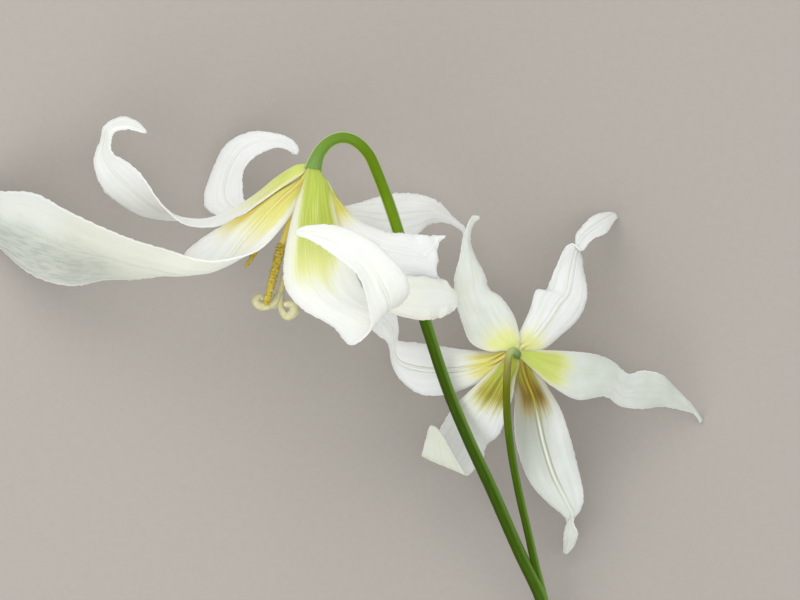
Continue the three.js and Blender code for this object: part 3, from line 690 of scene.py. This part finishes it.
OLDER_RIGHT = [
    (-12.8, 20.45, 26.7, -13.6, 20.65, 28.1, 0.1),
    (-12.2, 19.3, 27.1, -13.5, 19.5, 28.6, 0.2),
    (-11.4, 17.9, 27.6, -12.8, 17.6, 29.4, 0.5),
    (-9.4, 15.2, 27.6, -11.6, 13.8, 31.6, 0.9),
    (-6.5, 12.6, 29, -9.9, 9.6, 34.2, 1),
    (-4.2, 11.5, 30.2, -6.6, 6.6, 35.8, 0.8),
    (-2.5, 11, 30.9, -3, 4.8, 35.8, 0.6),
    (-1.1, 10.7, 31.3, 0.4, 4.2, 34.4, 0.5),
    (0.3, 10.55, 31.4, 3.3, 3.7, 32.8, 0.4),
    (1.6, 10.5, 31.5, 5.8, 3.3, 31, 0.3),
    (2.9, 10.4, 31.5, 5.75, 4.9, 30.7, 0.2),
    (4.1, 10.25, 31.4, 6.1, 6.3, 30.6, 0.1),
    (5.1, 10.2, 31.2, 5.9, 7.8, 30.6),
    (5.9, 10.2, 31.1, 6.1, 8.9, 30.8),
    (6.6, 10.25, 31, 6.6, 9.6, 30.9),
    (7.3, 10.2, 31, 7.2, 9.95, 31),
]
OLDER_RIGHT_FOLD = [
    (-2.6, 5.2, 34.6, -4.4, 0.8, 37.2, 0.3),
    (0.4, 5, 33.4, -1.2, -2, 36.4, 0.5),
    (3, 4.8, 32, 2.1, -2.95, 34.8, 0.7),
    (4.8, 4.6, 30.6, 4.4, -3.15, 33.4, 0.8),
    (6.1, 3.8, 29.7, 6.6, -2.7, 32, 0.7),
    (7.4, 2.8, 29.2, 8.1, -2, 30.8, 0.5),
    (8.5, 1.7, 28.8, 8.95, -1.1, 29.8, 0.3),
    (9.1, 0.8, 28.7, 9.3, -0.3, 29.1, 0.1),
]
OLDER_BEHIND = [
    (-13.5, 20.6, 25.8, -12.7, 20.4, 27.1, 0.1),
    (-13.3, 19.7, 24.6, -12.3, 19.4, 26.2, 0.3),
    (-12.6, 18.4, 22.9, -11.4, 18.3, 24.7, 0.6),
    (-10.2, 15, 19.8, -8.8, 12.6, 23.4, 1),
    (-6.6, 15.7, 16.6, -5.2, 10.8, 21, 0.8),
    (-1.6, 17, 14, -1.6, 9.4, 18, 0.4),
    (3, 17.1, 11.5, 2.2, 10.4, 14, 0.2),
    (6.3, 15.7, 9, 4.8, 12.2, 10.5, 0.2),
    (8.7, 13.4, 7, 7.6, 12.5, 7.5, 0.1),
    (10.4, 11.8, 5.5, 10, 11.2, 5.5),
    (10.8, 10.4, 4.8, 10.3, 10.2, 4.8),
]
OLDER_CURL = [
    (-14.6, 20.9, 26.2, -13.1, 20.5, 26.2, 0.1),
    (-15.1, 19.9, 25.4, -13.5, 19.4, 25.2, 0.3),
    (-15.8, 18.4, 23.2, -14.2, 17.8, 22.9, 0.5),
    (-18.9, 17.2, 19.2, -16.6, 14.4, 18.4, 0.9),
    (-22.6, 15.5, 15.2, -21.6, 11.8, 13, 0.8),
    (-25, 16, 12.2, -28.6, 13.3, 7.8, 0.4),
    (-25.6, 18.2, 11, -31.5, 15.4, 5.8, 0.2),
    (-25.2, 20.8, 10.8, -30.7, 20.4, 5.4, 0.2),
    (-23.4, 23.2, 11.6, -28.4, 25, 7, 0.2),
    (-20.6, 24.5, 13, -24, 27.1, 9.5, 0.2),
    (-18.5, 24.35, 14, -19.8, 26.9, 12, 0.1),
    (-17.5, 23.8, 14.4, -17.9, 26.1, 13.2),
    (-16.8, 23.45, 14.6, -16.7, 25.1, 14),
    (-16.4, 23.5, 14.6, -16.3, 24.2, 14.5),
]
OLDER_UPPER = [
    (-14.8, 20.8, 27.5, -14.8, 21.5, 26.1, 0.1),
    (-15.6, 20.1, 28.2, -15.9, 21.6, 25.8, 0.3),
    (-16.8, 19.3, 28.6, -17, 21.2, 24.8, 0.6),
    (-19.3, 17.7, 29, -19.6, 19.4, 22.8, 0.7),
    (-22.3, 15.6, 28.6, -22.4, 17, 20.6, 0.7),
    (-25.6, 13.4, 27, -25.8, 15, 18.2, 0.6),
    (-30, 11.7, 23.8, -29.6, 13.3, 16, 0.5),
    (-34.6, 12, 21.8, -33.4, 13, 14, 0.3),
    (-38, 15.2, 19.6, -41.3, 13.4, 13.4, 0.8),
    (-41.4, 19.9, 18, -46.2, 16.1, 14, 0.8),
    (-44, 22.1, 17.4, -48.2, 18.7, 14.2, 0.6),
    (-46.1, 23.5, 17.2, -49.3, 22.6, 14.2, 0.4),
    (-46.4, 25.5, 17.6, -48.3, 25.9, 15.8, 0.1),
    (-45.8, 27.1, 19, -47.5, 28, 17.2),
    (-43.7, 27.4, 20, -44.6, 29.4, 18.6),
    (-41.6, 26.9, 20.6, -42.2, 28.7, 19.6),
    (-40.6, 26.8, 20.6, -40.8, 27.3, 20.6),
]
OLDER_LEFT = [
    (-14.1, 20.8, 28, -14.9, 21, 26.8, 0.1),
    (-14.4, 19.4, 28.5, -15.7, 19.9, 27.4, 0.3),
    (-15.2, 17.6, 29.2, -16.7, 18.9, 27.7, 0.5),
    (-17.2, 13.8, 32.2, -20.2, 17, 27.6, 0.8),
    (-20, 10.2, 34.4, -24.3, 14.1, 27, 0.3),
    (-23, 7.6, 35.2, -27.6, 12.3, 26.2, -0.8),
    (-26.5, 6.6, 34.6, -30.5, 10.8, 25.3, -2.2, 0.2),
    (-31, 6.5, 32.5, -33.5, 8.2, 24.2, -3, 0.3),
    (-35.9, 7.5, 29.5, -37, 4.6, 22.9, -2.3, 0.2),
    (-41.2, 9.1, 26, -41.8, 3.5, 19.8, -1.4),
    (-47.3, 11.6, 22, -47.8, 3.1, 17, -0.8),
    (-54, 14.5, 17, -53, 2.3, 12.5, -0.3),
    (-59.2, 17.2, 12.4, -59.2, 4, 8.4),
    (-64.4, 17.6, 7.6, -64.6, 8, 4.4),
    (-69, 17.7, 3.4, -69, 12.8, 1.9, 0.1),
    (-72, 17.7, 0.3, -71.8, 17, 0.15),
]

# near the claw, further out, in the streaks and where the patch ends
LEAF_GREEN = ((180, 196, 84), (168, 180, 72), (154, 164, 58), (240, 240, 176))
LIME = ((204, 216, 116), (232, 234, 174), (206, 210, 112), (242, 242, 200))
STRAW = ((206, 210, 92), (222, 212, 116), (200, 188, 78), (240, 236, 184))
BUTTER = ((206, 206, 104), (230, 226, 148), (204, 190, 88), (244, 240, 200))
MAIZE = ((214, 212, 100), (232, 222, 136), (192, 172, 66), (246, 242, 204))
RUST = (220, 168, 116)
CREAM = (238, 239, 224)
SNOW = (250, 251, 246)
IVORY = (244, 245, 234)

skin = tepal_finish("older_front_skin", 2.0, LEAF_GREEN, reach=23.5, wide=3.2, fade=7.0, rim=0.8,
                    lean=0.13, drift=0.3, margin=0.0, soften=0.15, pale_from=0.48, ground=IVORY)
tepal("large_tepal_1", OLDER_FRONT, skin, seed=11, phase=0.4)

skin = tepal_finish("older_right_skin", 5.0, STRAW, reach=10.5, wide=3.0, fade=5.0, margin=0.4,
                    soften=0.1)
tepal("large_tepal_2", OLDER_RIGHT, skin, seed=12, phase=1.7, keel=0.05, pleat=0.01)

skin = tepal_finish("older_right_fold_skin", 6.0, STRAW, reach=-20.0, wide=3.0, fade=3.0, lines=0.0,
                    soften=0.15, inside=-20.0, ground=CREAM)
tepal("large_tepal_2_fold", OLDER_RIGHT_FOLD, skin, seed=19, phase=2.7,
      keel=0.0, pleat=0.0)

skin = tepal_finish("older_behind_skin", 8.0, LEAF_GREEN, reach=9.0, wide=2.6, fade=5.0)
tepal("large_tepal_3", OLDER_BEHIND, skin, seed=13, phase=2.9, pleat=0.03)

skin = tepal_finish("older_curl_skin", 11.0, STRAW, reach=9.0, wide=2.6, fade=5.0,
                    twin=(1.0, 7.0, RUST), soften=0.08)
tepal("large_tepal_4", OLDER_CURL, skin, seed=14, phase=4.1, keel=0.06)

skin = tepal_finish("older_upper_skin", 14.0, LIME, reach=13.5, wide=4.0, fade=9.0, lines=0.6,
                    rim=1.1, soften=0.05, painted_far_shading=0.2)
tepal("large_tepal_5", OLDER_UPPER, skin, seed=15, phase=5.2, keel=0.04)

skin = tepal_finish("older_left_skin", 17.0, BUTTER, reach=15.5, wide=3.2, fade=8.0, lines=0.8,
                    twin=(1.5, 9.0, RUST), keel_pale=0.25, rim=0.8, soften=0.2, painted_far_shading=1.0, painted_cover_shadow=1.0,
                    ground=SNOW)
tepal("large_tepal_6", OLDER_LEFT, skin, seed=16, phase=0.9, keel=0.12)


# The younger bloom's tepals, of the same make but half the size. It is seen from behind, so each
# shows its back: a short green patch on the outer three, and twin rust streaks on the inner three.

YOUNGER = Bloom((18.7, -8.6, 23), (0.06, -0.31, -0.949), (1, 0, 0))
YOUNGER_RIGHT = [
    (19.2, -8.1, 22.8, 19.2, -9.3, 23.3, 0.1),
    (20.4, -8.1, 22.1, 20.3, -10.2, 22.7, 0.3),
    (22.2, -8.1, 21.2, 21.7, -11.5, 21.3, 0.6),
    (25.6, -8.2, 18.8, 24.4, -13.8, 19, 0.8),
    (30.4, -8.6, 16.2, 28.6, -16, 16.4, 0.7),
    (33.8, -9.6, 14, 32.9, -15.5, 14, 0.5),
    (36.7, -11.9, 12, 35.8, -17.2, 11, 0.2),
    (39.3, -11.5, 10.5, 38.9, -17.5, 9),
    (42.1, -12, 8.5, 42.4, -17.3, 6.5),
    (44.7, -14.2, 5.4, 45.5, -17.8, 4, 0.1),
    (47.4, -17.1, 2.5, 47.8, -18.5, 2.1, 0.1),
    (49.2, -19.5, 0.2, 48.8, -20, 0.2),
]
YOUNGER_UP_RIGHT = [
    (18.4, -7.9, 22.7, 19.5, -8.6, 22.9, 0.1),
    (18.3, -7.2, 21.6, 20.5, -8.4, 22.1, 0.3),
    (19.2, -5.2, 20.4, 23, -7.9, 20.2, 0.5),
    (20.9, -1.6, 18.2, 25.8, -5.7, 17.6, 0.9),
    (21.9, 1.5, 16.6, 28.7, -3, 15.6, 0.8),
    (23.6, 1.7, 15.4, 30, 0, 14, 0.6),
    (24.9, 4.8, 14, 30, 3, 12.2, 0.3),
    (26.3, 7.8, 12.8, 29.6, 5.4, 10.6, 0.2),
    (27.8, 9.1, 12, 29.1, 7.3, 9.6),
    (29.3, 8.1, 11.2, 28.4, 9.7, 8.8),
    (31.1, 9.7, 9.4, 29.1, 11.5, 7.2),
    (33.4, 10.9, 6.8, 31.1, 13.5, 5),
    (34.8, 12.8, 2.6, 33.8, 14.2, 1.8),
    (35.4, 13.4, 0.4, 34.8, 14.2, 0.1),
]
YOUNGER_UP_LEFT = [
    (17.8, -8.5, 22.9, 19.1, -7.8, 22.8, 0.1),
    (16.9, -8.1, 22.1, 19.2, -6.9, 21.9, 0.3),
    (14.3, -8.2, 21.4, 19.1, -5.6, 21.4, 0.6),
    (11.4, -6.8, 19.4, 18.3, -2.6, 19.2, 0.9),
    (10, -3.6, 17.4, 16.4, 0.2, 17, 0.8),
    (9, 0, 16.2, 14.4, 1.8, 15.6, 0.6),
    (8.8, 3.4, 15.4, 13.7, 3.8, 14.6, 0.5),
    (9.4, 6.2, 15.2, 12.4, 6.6, 14.2, 0.4),
    (10.1, 9.2, 15.8, 11.3, 9.4, 14.8, 0.2),
    (10.6, 11.4, 17.2, 11.4, 11, 16.4, 0.1),
    (11.5, 13.3, 18.8, 12, 12.5, 18.4),
    (12.7, 13.5, 19.6, 12.7, 13, 19.6),
]
YOUNGER_LEFT = [
    (18.2, -9.3, 23.1, 18.3, -8, 22.7, 0.1),
    (17.4, -10.1, 22.5, 17.5, -7.6, 21.7, 0.3),
    (14.9, -12, 20.2, 15, -8.2, 20.2, 0.5),
    (11.4, -13.8, 17.8, 11, -8.1, 17.8, 0.8),
    (7.4, -15.2, 16.2, 6.8, -7.5, 16, 0.7),
    (3.2, -15.1, 14.6, 2.6, -6.9, 14.4, 0.5),
    (0.2, -13, 12.6, -0.2, -6.5, 13.2, 0.3),
    (-1.3, -9.8, 11.4, -0.4, -4.6, 12.6, 0.1),
    (-2.2, -6.8, 10.8, -0.4, -2.8, 12),
    (-4.4, -4.8, 10.4, -1.6, -0.6, 11),
    (-5.6, -2.2, 9.8, -4.2, -0.2, 10),
    (-6.4, -0.4, 9.4, -6, 0.1, 9.4),
]
YOUNGER_DOWN_LEFT = [
    (19, -9.5, 23.3, 17.8, -8.7, 23, 0.1),
    (19, -10.6, 23.1, 16.8, -9.4, 22.5, 0.3),
    (18.5, -12.4, 21.4, 15.1, -10.9, 21.4, 0.6),
    (18.1, -15.3, 19.2, 12.3, -13.6, 19.4, 0.8),
    (17.2, -18.4, 17, 9.8, -16, 17.4, 0.7),
    (15.8, -21.8, 14.8, 7.9, -18.3, 14.6, 0.4),
    (13.9, -23.5, 13.2, 6.4, -20.9, 12.8, 0.2),
    (13.3, -25.8, 12.4, 4.9, -23.1, 12.4),
    (11, -28.1, 13, 3.7, -25.1, 13.4),
    (9.6, -26.7, 15, 3.6, -24.7, 15.4),
    (8.2, -24.1, 16.8, 4.2, -22.3, 17),
    (6.8, -21.7, 18, 4.6, -20.7, 18.2),
    (5.9, -20.5, 18.5, 5, -20.1, 18.5),
]
YOUNGER_DOWN = [
    (19.5, -8.7, 23, 18.3, -9.3, 23.1, 0.1),
    (20.5, -9.4, 22.4, 18.2, -10.6, 22.7, 0.3),
    (22.5, -12, 19.9, 17.9, -12.7, 19.9, 0.5),
    (24, -14.5, 17.6, 18.5, -15.6, 17.8, 0.8),
    (25.9, -17.8, 16.2, 18.4, -19.4, 16, 0.7),
    (27.3, -21.9, 14.8, 18.9, -23.8, 14.4, 0.6),
    (28.6, -26.8, 12.8, 20.8, -29, 12.2, 0.4),
    (29.6, -31.3, 10.6, 24, -32.9, 9.8, 0.2),
    (29.2, -34, 9, 26.5, -34.9, 8.4, 0.1),
    (28.1, -35.6, 8, 27, -35.8, 6.8),
    (28.8, -37.7, 6, 26.6, -37.5, 5.4),
    (28.3, -39.8, 3.6, 26.6, -39.5, 3.4),
    (27.2, -41.2, 2.2, 26.5, -41, 2.2),
]

SPRING_GREEN = ((194, 210, 100), (204, 212, 118), (178, 194, 84), (228, 230, 160))
PRIMROSE = ((216, 226, 118), (226, 230, 138), (210, 214, 110), (238, 238, 178))
OLIVE = ((184, 192, 74), (170, 162, 56), (116, 114, 4), (204, 196, 114))
OCHRE = ((160, 162, 44), (118, 96, 4), (98, 76, 0), (176, 156, 80))
BRICK = (162, 80, 48)
BLUSH = (204, 124, 98)

# the grey ground is painted shade over the whole tepal
skin = tepal_finish("younger_right_skin", 21.0, SPRING_GREEN, reach=9.2, wide=2.8, fade=3.5,
                    lines=0.4, rim=0.9, ground=(201, 208, 197))
tepal("small_tepal_1", YOUNGER_RIGHT, skin, seed=21, phase=2.2,
      pleat=0.01, crimp=0.06)

skin = tepal_finish("younger_up_right_skin", 24.0, PRIMROSE, reach=5.0, wide=2.6, lines=0.3,
                    twin=(0.2, 2.0, BLUSH), keel_pale=0.4, full=0.85, soften=0.45, ground=SNOW)
tepal("small_tepal_2", YOUNGER_UP_RIGHT, skin, seed=22, phase=3.3, keel=0.06,
      pleat=0.01, crimp=0.06)

# the grey ground is painted shade over the whole tepal
skin = tepal_finish("younger_up_left_skin", 27.0, PRIMROSE, reach=4.8, wide=2.6, lines=0.3,
                    full=0.85, soften=0.6, ground=(211, 216, 204))
tepal("small_tepal_3", YOUNGER_UP_LEFT, skin, seed=23, phase=4.6,
      pleat=0.018, crimp=0.06)

skin = tepal_finish("younger_left_skin", 30.0, MAIZE, reach=9.2, wide=2.8, fade=5.0, lines=0.7,
                    twin=(0.5, 4.6, BRICK), keel_pale=0.55, soften=0.1)
tepal("small_tepal_4", YOUNGER_LEFT, skin, seed=24, phase=5.7, keel=0.12, crimp=0.06)

skin = tepal_finish("younger_down_left_skin", 33.0, OLIVE, reach=10.5, wide=2.8, fade=4.5,
                    lines=0.9, soften=0.2, painted_inner_shade=0.8)
tepal("small_tepal_5", YOUNGER_DOWN_LEFT, skin, seed=25, phase=1.1, crimp=0.06)

# the grey ground is painted shade over the whole tepal, and shade paints more past the patch
skin = tepal_finish("younger_down_skin", 36.0, OCHRE, reach=11.4, wide=2.5, fade=4.2, lines=0.7,
                    twin=(1.0, 8.0, BRICK), keel_pale=0.9, rim=0.66, shade=0.9,
                    ground=(213, 217, 211))
tepal("small_tepal_6", YOUNGER_DOWN, skin, seed=26, phase=0.1, keel=0.14, crimp=0.06)


# The stamens: six on each bloom, set on a small green disc. A pale yellow filament tapers up to a
# long anther that has split open and turned its golden pollen outward.

# along the axis, to the side, ahead, radius
DISC = [(1.65, 0, 0, 0.76), (2.2, 0, 0, 0.95)]
FILAMENT_RADIUS = 0.52
ANTHER_RADIUS = {"older": (0.6, 0.34, 0.55, 0.55, 0.55, 0.45), "younger": (0.5,) * 6}
# shares of an anther's length, and of its radius there
ANTHER_SWELL = ((0, 0.4), (0.03, 0.8), (0.1, 1.05), (0.35, 1), (0.6, 0.94), (0.85, 0.78),
                (0.97, 0.55), (1, 0.2))
GRAINS = 14
RINGS_PER_MM = 10
# along the axis, to the side and ahead: where the filament meets the anther, and the anther's tip
OLDER_STAMENS = [
    ((12.5, -1.7, 1.6), (23, -1.6, 2.4)),
    ((11.5, -4.4, -1), (17.9, -6.4, -1.6)),
    ((12, 2.6, 2.2), (20.5, 3.6, 3)),
    ((11.5, 3.6, 0.2), (19.5, 5, 0.4)),
    ((12, 2.6, -2.6), (20, 3.4, -3.4)),
    ((9, -3.4, -3), (13.6, -6.2, -5)),
]
YOUNGER_STAMENS = [
    ((9, 2.6, 0.4), (15, 3.8, 0.6)),
    ((9.5, 1.2, 2.4), (16, 1.7, 3.6)),
    ((9, -1.3, 2.2), (14.6, -2, 3.4)),
    ((9.5, -2.6, -0.2), (15.6, -3.8, -0.4)),
    ((9, -1.2, -2.4), (15.2, -1.8, -3.6)),
    ((9.5, 1.4, -2.2), (16, 2.1, -3.3)),
]


def gather(name, tubes, material, node):
    """Several tubes as one piece of the stem, with their runs written on it."""
    points, faces, runs, start = [], [], [], 0
    for tube_points, tube_faces, run in tubes:
        points.append(tube_points)
        faces += [tuple(v + start for v in f) for f in tube_faces]
        runs.append(run)
        start += len(tube_points)
    piece = make(name, to_metres(np.vstack(points)), faces, material)
    note(piece, "run", np.concatenate(runs))
    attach(piece, "root")
    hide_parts(node)


def bloom_tube(bloom, rows, sides, rings, shape=None):
    spots = [tuple(bloom.spot(*row[:3])) + (row[3],) for row in rows]
    return tube(spots, sides, rings, shape)


def pollen_crust(seed):
    """Two swollen halves with a split between them, under uneven grains."""

    def shape(run, turn, wide):
        halves = 0.2 * np.abs(np.sin(turn)) - 0.16 * np.exp(-((np.sin(turn) / 0.22) ** 2))
        chance = np.random.default_rng(seed)
        grains = 0
        for _ in range(GRAINS):
            pitch, slope = chance.uniform(4, 13), chance.integers(-12, 13)
            grains = grains + np.sin(pitch * run + slope * turn + chance.uniform(0, 6.3))
        return wide * (0.95 + halves * 0.6 + 0.2 * grains / 2.6)

    return shape


def filament_finish():
    skin = Finish("filament_skin")
    run = skin.noted("run")
    streak = skin.mottle(skin.lay(run * 0.4, run * 0.1), 3.0, 2.0, 0.5)
    tone = skin.mix((206, 210, 104), (232, 214, 104), run.ease(3.0, 8.0))
    tone = skin.mix(tone, (206, 184, 84), streak.ease(0.48, 0.7) * 0.5)
    relief = skin.grain(streak, 0.2, 0.0001)
    return skin.done(Base_Color=tone, Roughness=0.45, Normal=relief, Subsurface_Weight=0.3,
                     Subsurface_Radius=(1.0, 0.9, 0.4), Subsurface_Scale=0.0005)


def pollen_finish():
    skin = Finish("pollen_crust")
    place = skin.place()
    grain = skin.node("ShaderNodeTexVoronoi", {}, {"Vector": place, "Scale": 9000.0}, "Distance")
    clump = skin.mottle(place, 1800.0, 3.0, 0.7)
    tone = skin.mix((211, 191, 90), (197, 173, 66), clump.ease(0.4, 0.65))
    tone = skin.mix(tone, (166, 140, 40), grain.ease(0.35, 0.75) * 0.45)
    tone = skin.mix(tone, (240, 226, 136), clump.ease(0.36, 0.24) * 0.6)
    relief = skin.grain(0.6 * clump - grain * 0.5, 0.6, 0.00012)
    return skin.done(Base_Color=tone, Roughness=0.85, Normal=relief, Specular_IOR_Level=0.2)


filament_skin = filament_finish()
pollen_skin = pollen_finish()


def stamens(bloom, name, node, rows):
    filaments = [bloom_tube(bloom, DISC, sides=24, rings=4)]
    anthers = []
    for number, ((joint, tip), full) in enumerate(zip(rows, ANTHER_RADIUS[name])):
        spread = math.hypot(joint[1], joint[2])
        ways = (joint[1] / spread, joint[2] / spread)

        def near(along, off_axis, thick):
            return (along, off_axis * ways[0], off_axis * ways[1], thick)

        def toward_tip(share, thick):
            return tuple(j + share * (e - j) for j, e in zip(joint, tip)) + (thick,)

        filaments.append(bloom_tube(bloom, [
            near(1.9, 0.62, FILAMENT_RADIUS * 0.9),
            near(3.6, 1.6, FILAMENT_RADIUS * 1.05),
            near(6.6, max(1.75, spread * 0.62), FILAMENT_RADIUS),
            toward_tip(0, FILAMENT_RADIUS * 0.85),
            toward_tip(0.06, FILAMENT_RADIUS * 0.6),
        ], sides=14, rings=40))
        swell = [toward_tip(share, full * thick) for share, thick in ANTHER_SWELL]
        rings = int(math.dist(joint, tip) * RINGS_PER_MM)
        crust = pollen_crust(seed=number + 50)
        anthers.append(bloom_tube(bloom, swell, sides=28, rings=rings, shape=crust))
    gather(f"{name}_filaments", filaments, filament_skin, node)
    gather(f"{name}_anthers", anthers, pollen_skin, node)


stamens(OLDER, "older", "large_stamens", OLDER_STAMENS)
stamens(YOUNGER, "younger", "small_stamens", YOUNGER_STAMENS)


# The pistil: a green three-sided ovary, a slender cream style, and a stigma whose three lobes roll
# back on themselves. It is one soft, half clear growth, furred with fine papillae at the lobes.

OVARY_FROM = 2.55
OVARY_RADIUS = 0.95
STYLE_RADIUS = 0.5
# along the axis, to the side, ahead, radius
OLDER_LOBES = [
    ((19.8, 0, 0, 0.42), (21.3, -0.15, 0.3, 0.56), (22.4, -0.75, 0.3, 0.62), (23, -1.6, 0.1, 0.68),
     (23.1, -2.6, -0.2, 0.78), (22.6, -3.2, -0.4, 0.8), (21.95, -2.9, -0.5, 0.78),
     (22.3, -2.4, -0.5, 0.7)),
    ((19.8, 0, 0, 0.42), (21.3, 0.45, 0.2, 0.52), (22.7, 0.9, 0.5, 0.54), (23.6, 2.1, 0.8, 0.72),
     (22.65, 2.95, 1, 0.84), (21.75, 2.45, 1.15, 0.78), (21.75, 1.7, 1.3, 0.58),
     (22, 1.1, 1.3, 0.38)),
    ((19.8, 0, 0, 0.42), (21.4, 0, -0.9, 0.56), (22.4, -0.3, -2.1, 0.64), (22.2, -0.5, -3.3, 0.68),
     (21.3, -0.5, -3.6, 0.62), (21.2, -0.4, -2.9, 0.5)),
]
YOUNGER_LOBES = [
    ((15.2, 0, 0, 0.42), (17, 0.5, 0.5, 0.6), (18, 1.5, 1.4, 0.62), (17.6, 2.5, 2.2, 0.6),
     (16.6, 2.6, 2.3, 0.5)),
    ((15.2, 0, 0, 0.42), (17, -0.6, 0.2, 0.6), (18, -1.9, 0.5, 0.62), (17.7, -3, 0.9, 0.6),
     (16.7, -3.2, 1, 0.5)),
    ((15.2, 0, 0, 0.42), (17, 0.1, -0.7, 0.6), (17.9, 0.3, -1.9, 0.62), (17.5, 0.5, -3.1, 0.6),
     (16.5, 0.5, -3.3, 0.5)),
]


def ovary_sides(run, turn, wide):
    """Three rounded corners on the ovary, gone by the time it is style."""
    return wide * (1 + 0.1 * np.cos(3 * turn) * ease(run, 0.5, 1.5) * ease(-run, -7.0, -5.5))


def furred(run, turn, wide):
    """A lobe's skin of low bumps."""
    bumps = np.sin(9 * run + 5 * turn) + np.sin(13 * run - 7 * turn + 1)
    return wide * (1 + 0.018 * (bumps + np.sin(17 * run + 3 * turn + 2)))


def pistil_finish():
    skin = Finish("pistil_skin")
    run = skin.noted("run")
    place = skin.place()
    cloud = skin.mottle(place, 900.0, 3.0, 0.6)
    fur = skin.mottle(place, 6000.0, 2.0, 0.6)
    tone = skin.mix((150, 182, 84), (198, 192, 132), run.ease(4.5, 8.0))
    tone = skin.mix(tone, (205, 194, 142), run.ease(12.0, 18.0))
    tone = skin.mix(tone, (196, 184, 128), cloud.ease(0.5, 0.7) * 0.4)
    relief = skin.grain(fur, 0.35, 0.00008)
    return skin.done(Base_Color=tone, Roughness=0.42, Normal=relief, Subsurface_Weight=0.5,
                     Subsurface_Radius=(1.0, 0.9, 0.6), Subsurface_Scale=0.0008)


def lobe_finish():
    skin = Finish("stigma_skin")
    place = skin.place()
    cloud = skin.mottle(place, 1200.0, 3.0, 0.6)
    fur = skin.node("ShaderNodeTexVoronoi", {}, {"Vector": place, "Scale": 8000.0}, "Distance")
    tone = skin.mix((212, 206, 168), (200, 193, 150), cloud.ease(0.4, 0.65))
    tone = skin.mix(tone, (222, 217, 184), fur.ease(0.4, 0.1) * 0.4)
    relief = skin.grain(1 - fur, 0.5, 0.0001)
    return skin.done(Base_Color=tone, Roughness=0.4, Normal=relief, Subsurface_Weight=0.5,
                     Subsurface_Radius=(1.0, 0.9, 0.6), Subsurface_Scale=0.0008)


pistil_skin = pistil_finish()
lobe_skin = lobe_finish()


def pistil(bloom, name, node, long, lobes):
    body = bloom_tube(bloom, [
        (OVARY_FROM, 0, 0, OVARY_RADIUS * 0.4),
        (OVARY_FROM + 0.9, 0, 0, OVARY_RADIUS * 0.75),
        (OVARY_FROM + 2.6, 0, 0, OVARY_RADIUS),
        (OVARY_FROM + 4.6, 0, 0, OVARY_RADIUS * 0.9),
        (OVARY_FROM + 6.2, 0, 0, STYLE_RADIUS),
        (long * 0.6, 0, 0, STYLE_RADIUS * 0.9),
        (long * 0.85, 0, 0, STYLE_RADIUS),
        (long, 0, 0, STYLE_RADIUS * 1.2),
    ], sides=36, rings=90, shape=ovary_sides)
    curls = [bloom_tube(bloom, rows, sides=24, rings=80, shape=furred) for rows in lobes]
    gather(f"{name}_ovary_and_style", [body], pistil_skin, node)
    gather(f"{name}_stigma", curls, lobe_skin, node)


pistil(OLDER, "older", "large_pistil", long=20.6, lobes=OLDER_LOBES)
pistil(YOUNGER, "younger", "small_pistil", long=16, lobes=YOUNGER_LOBES)
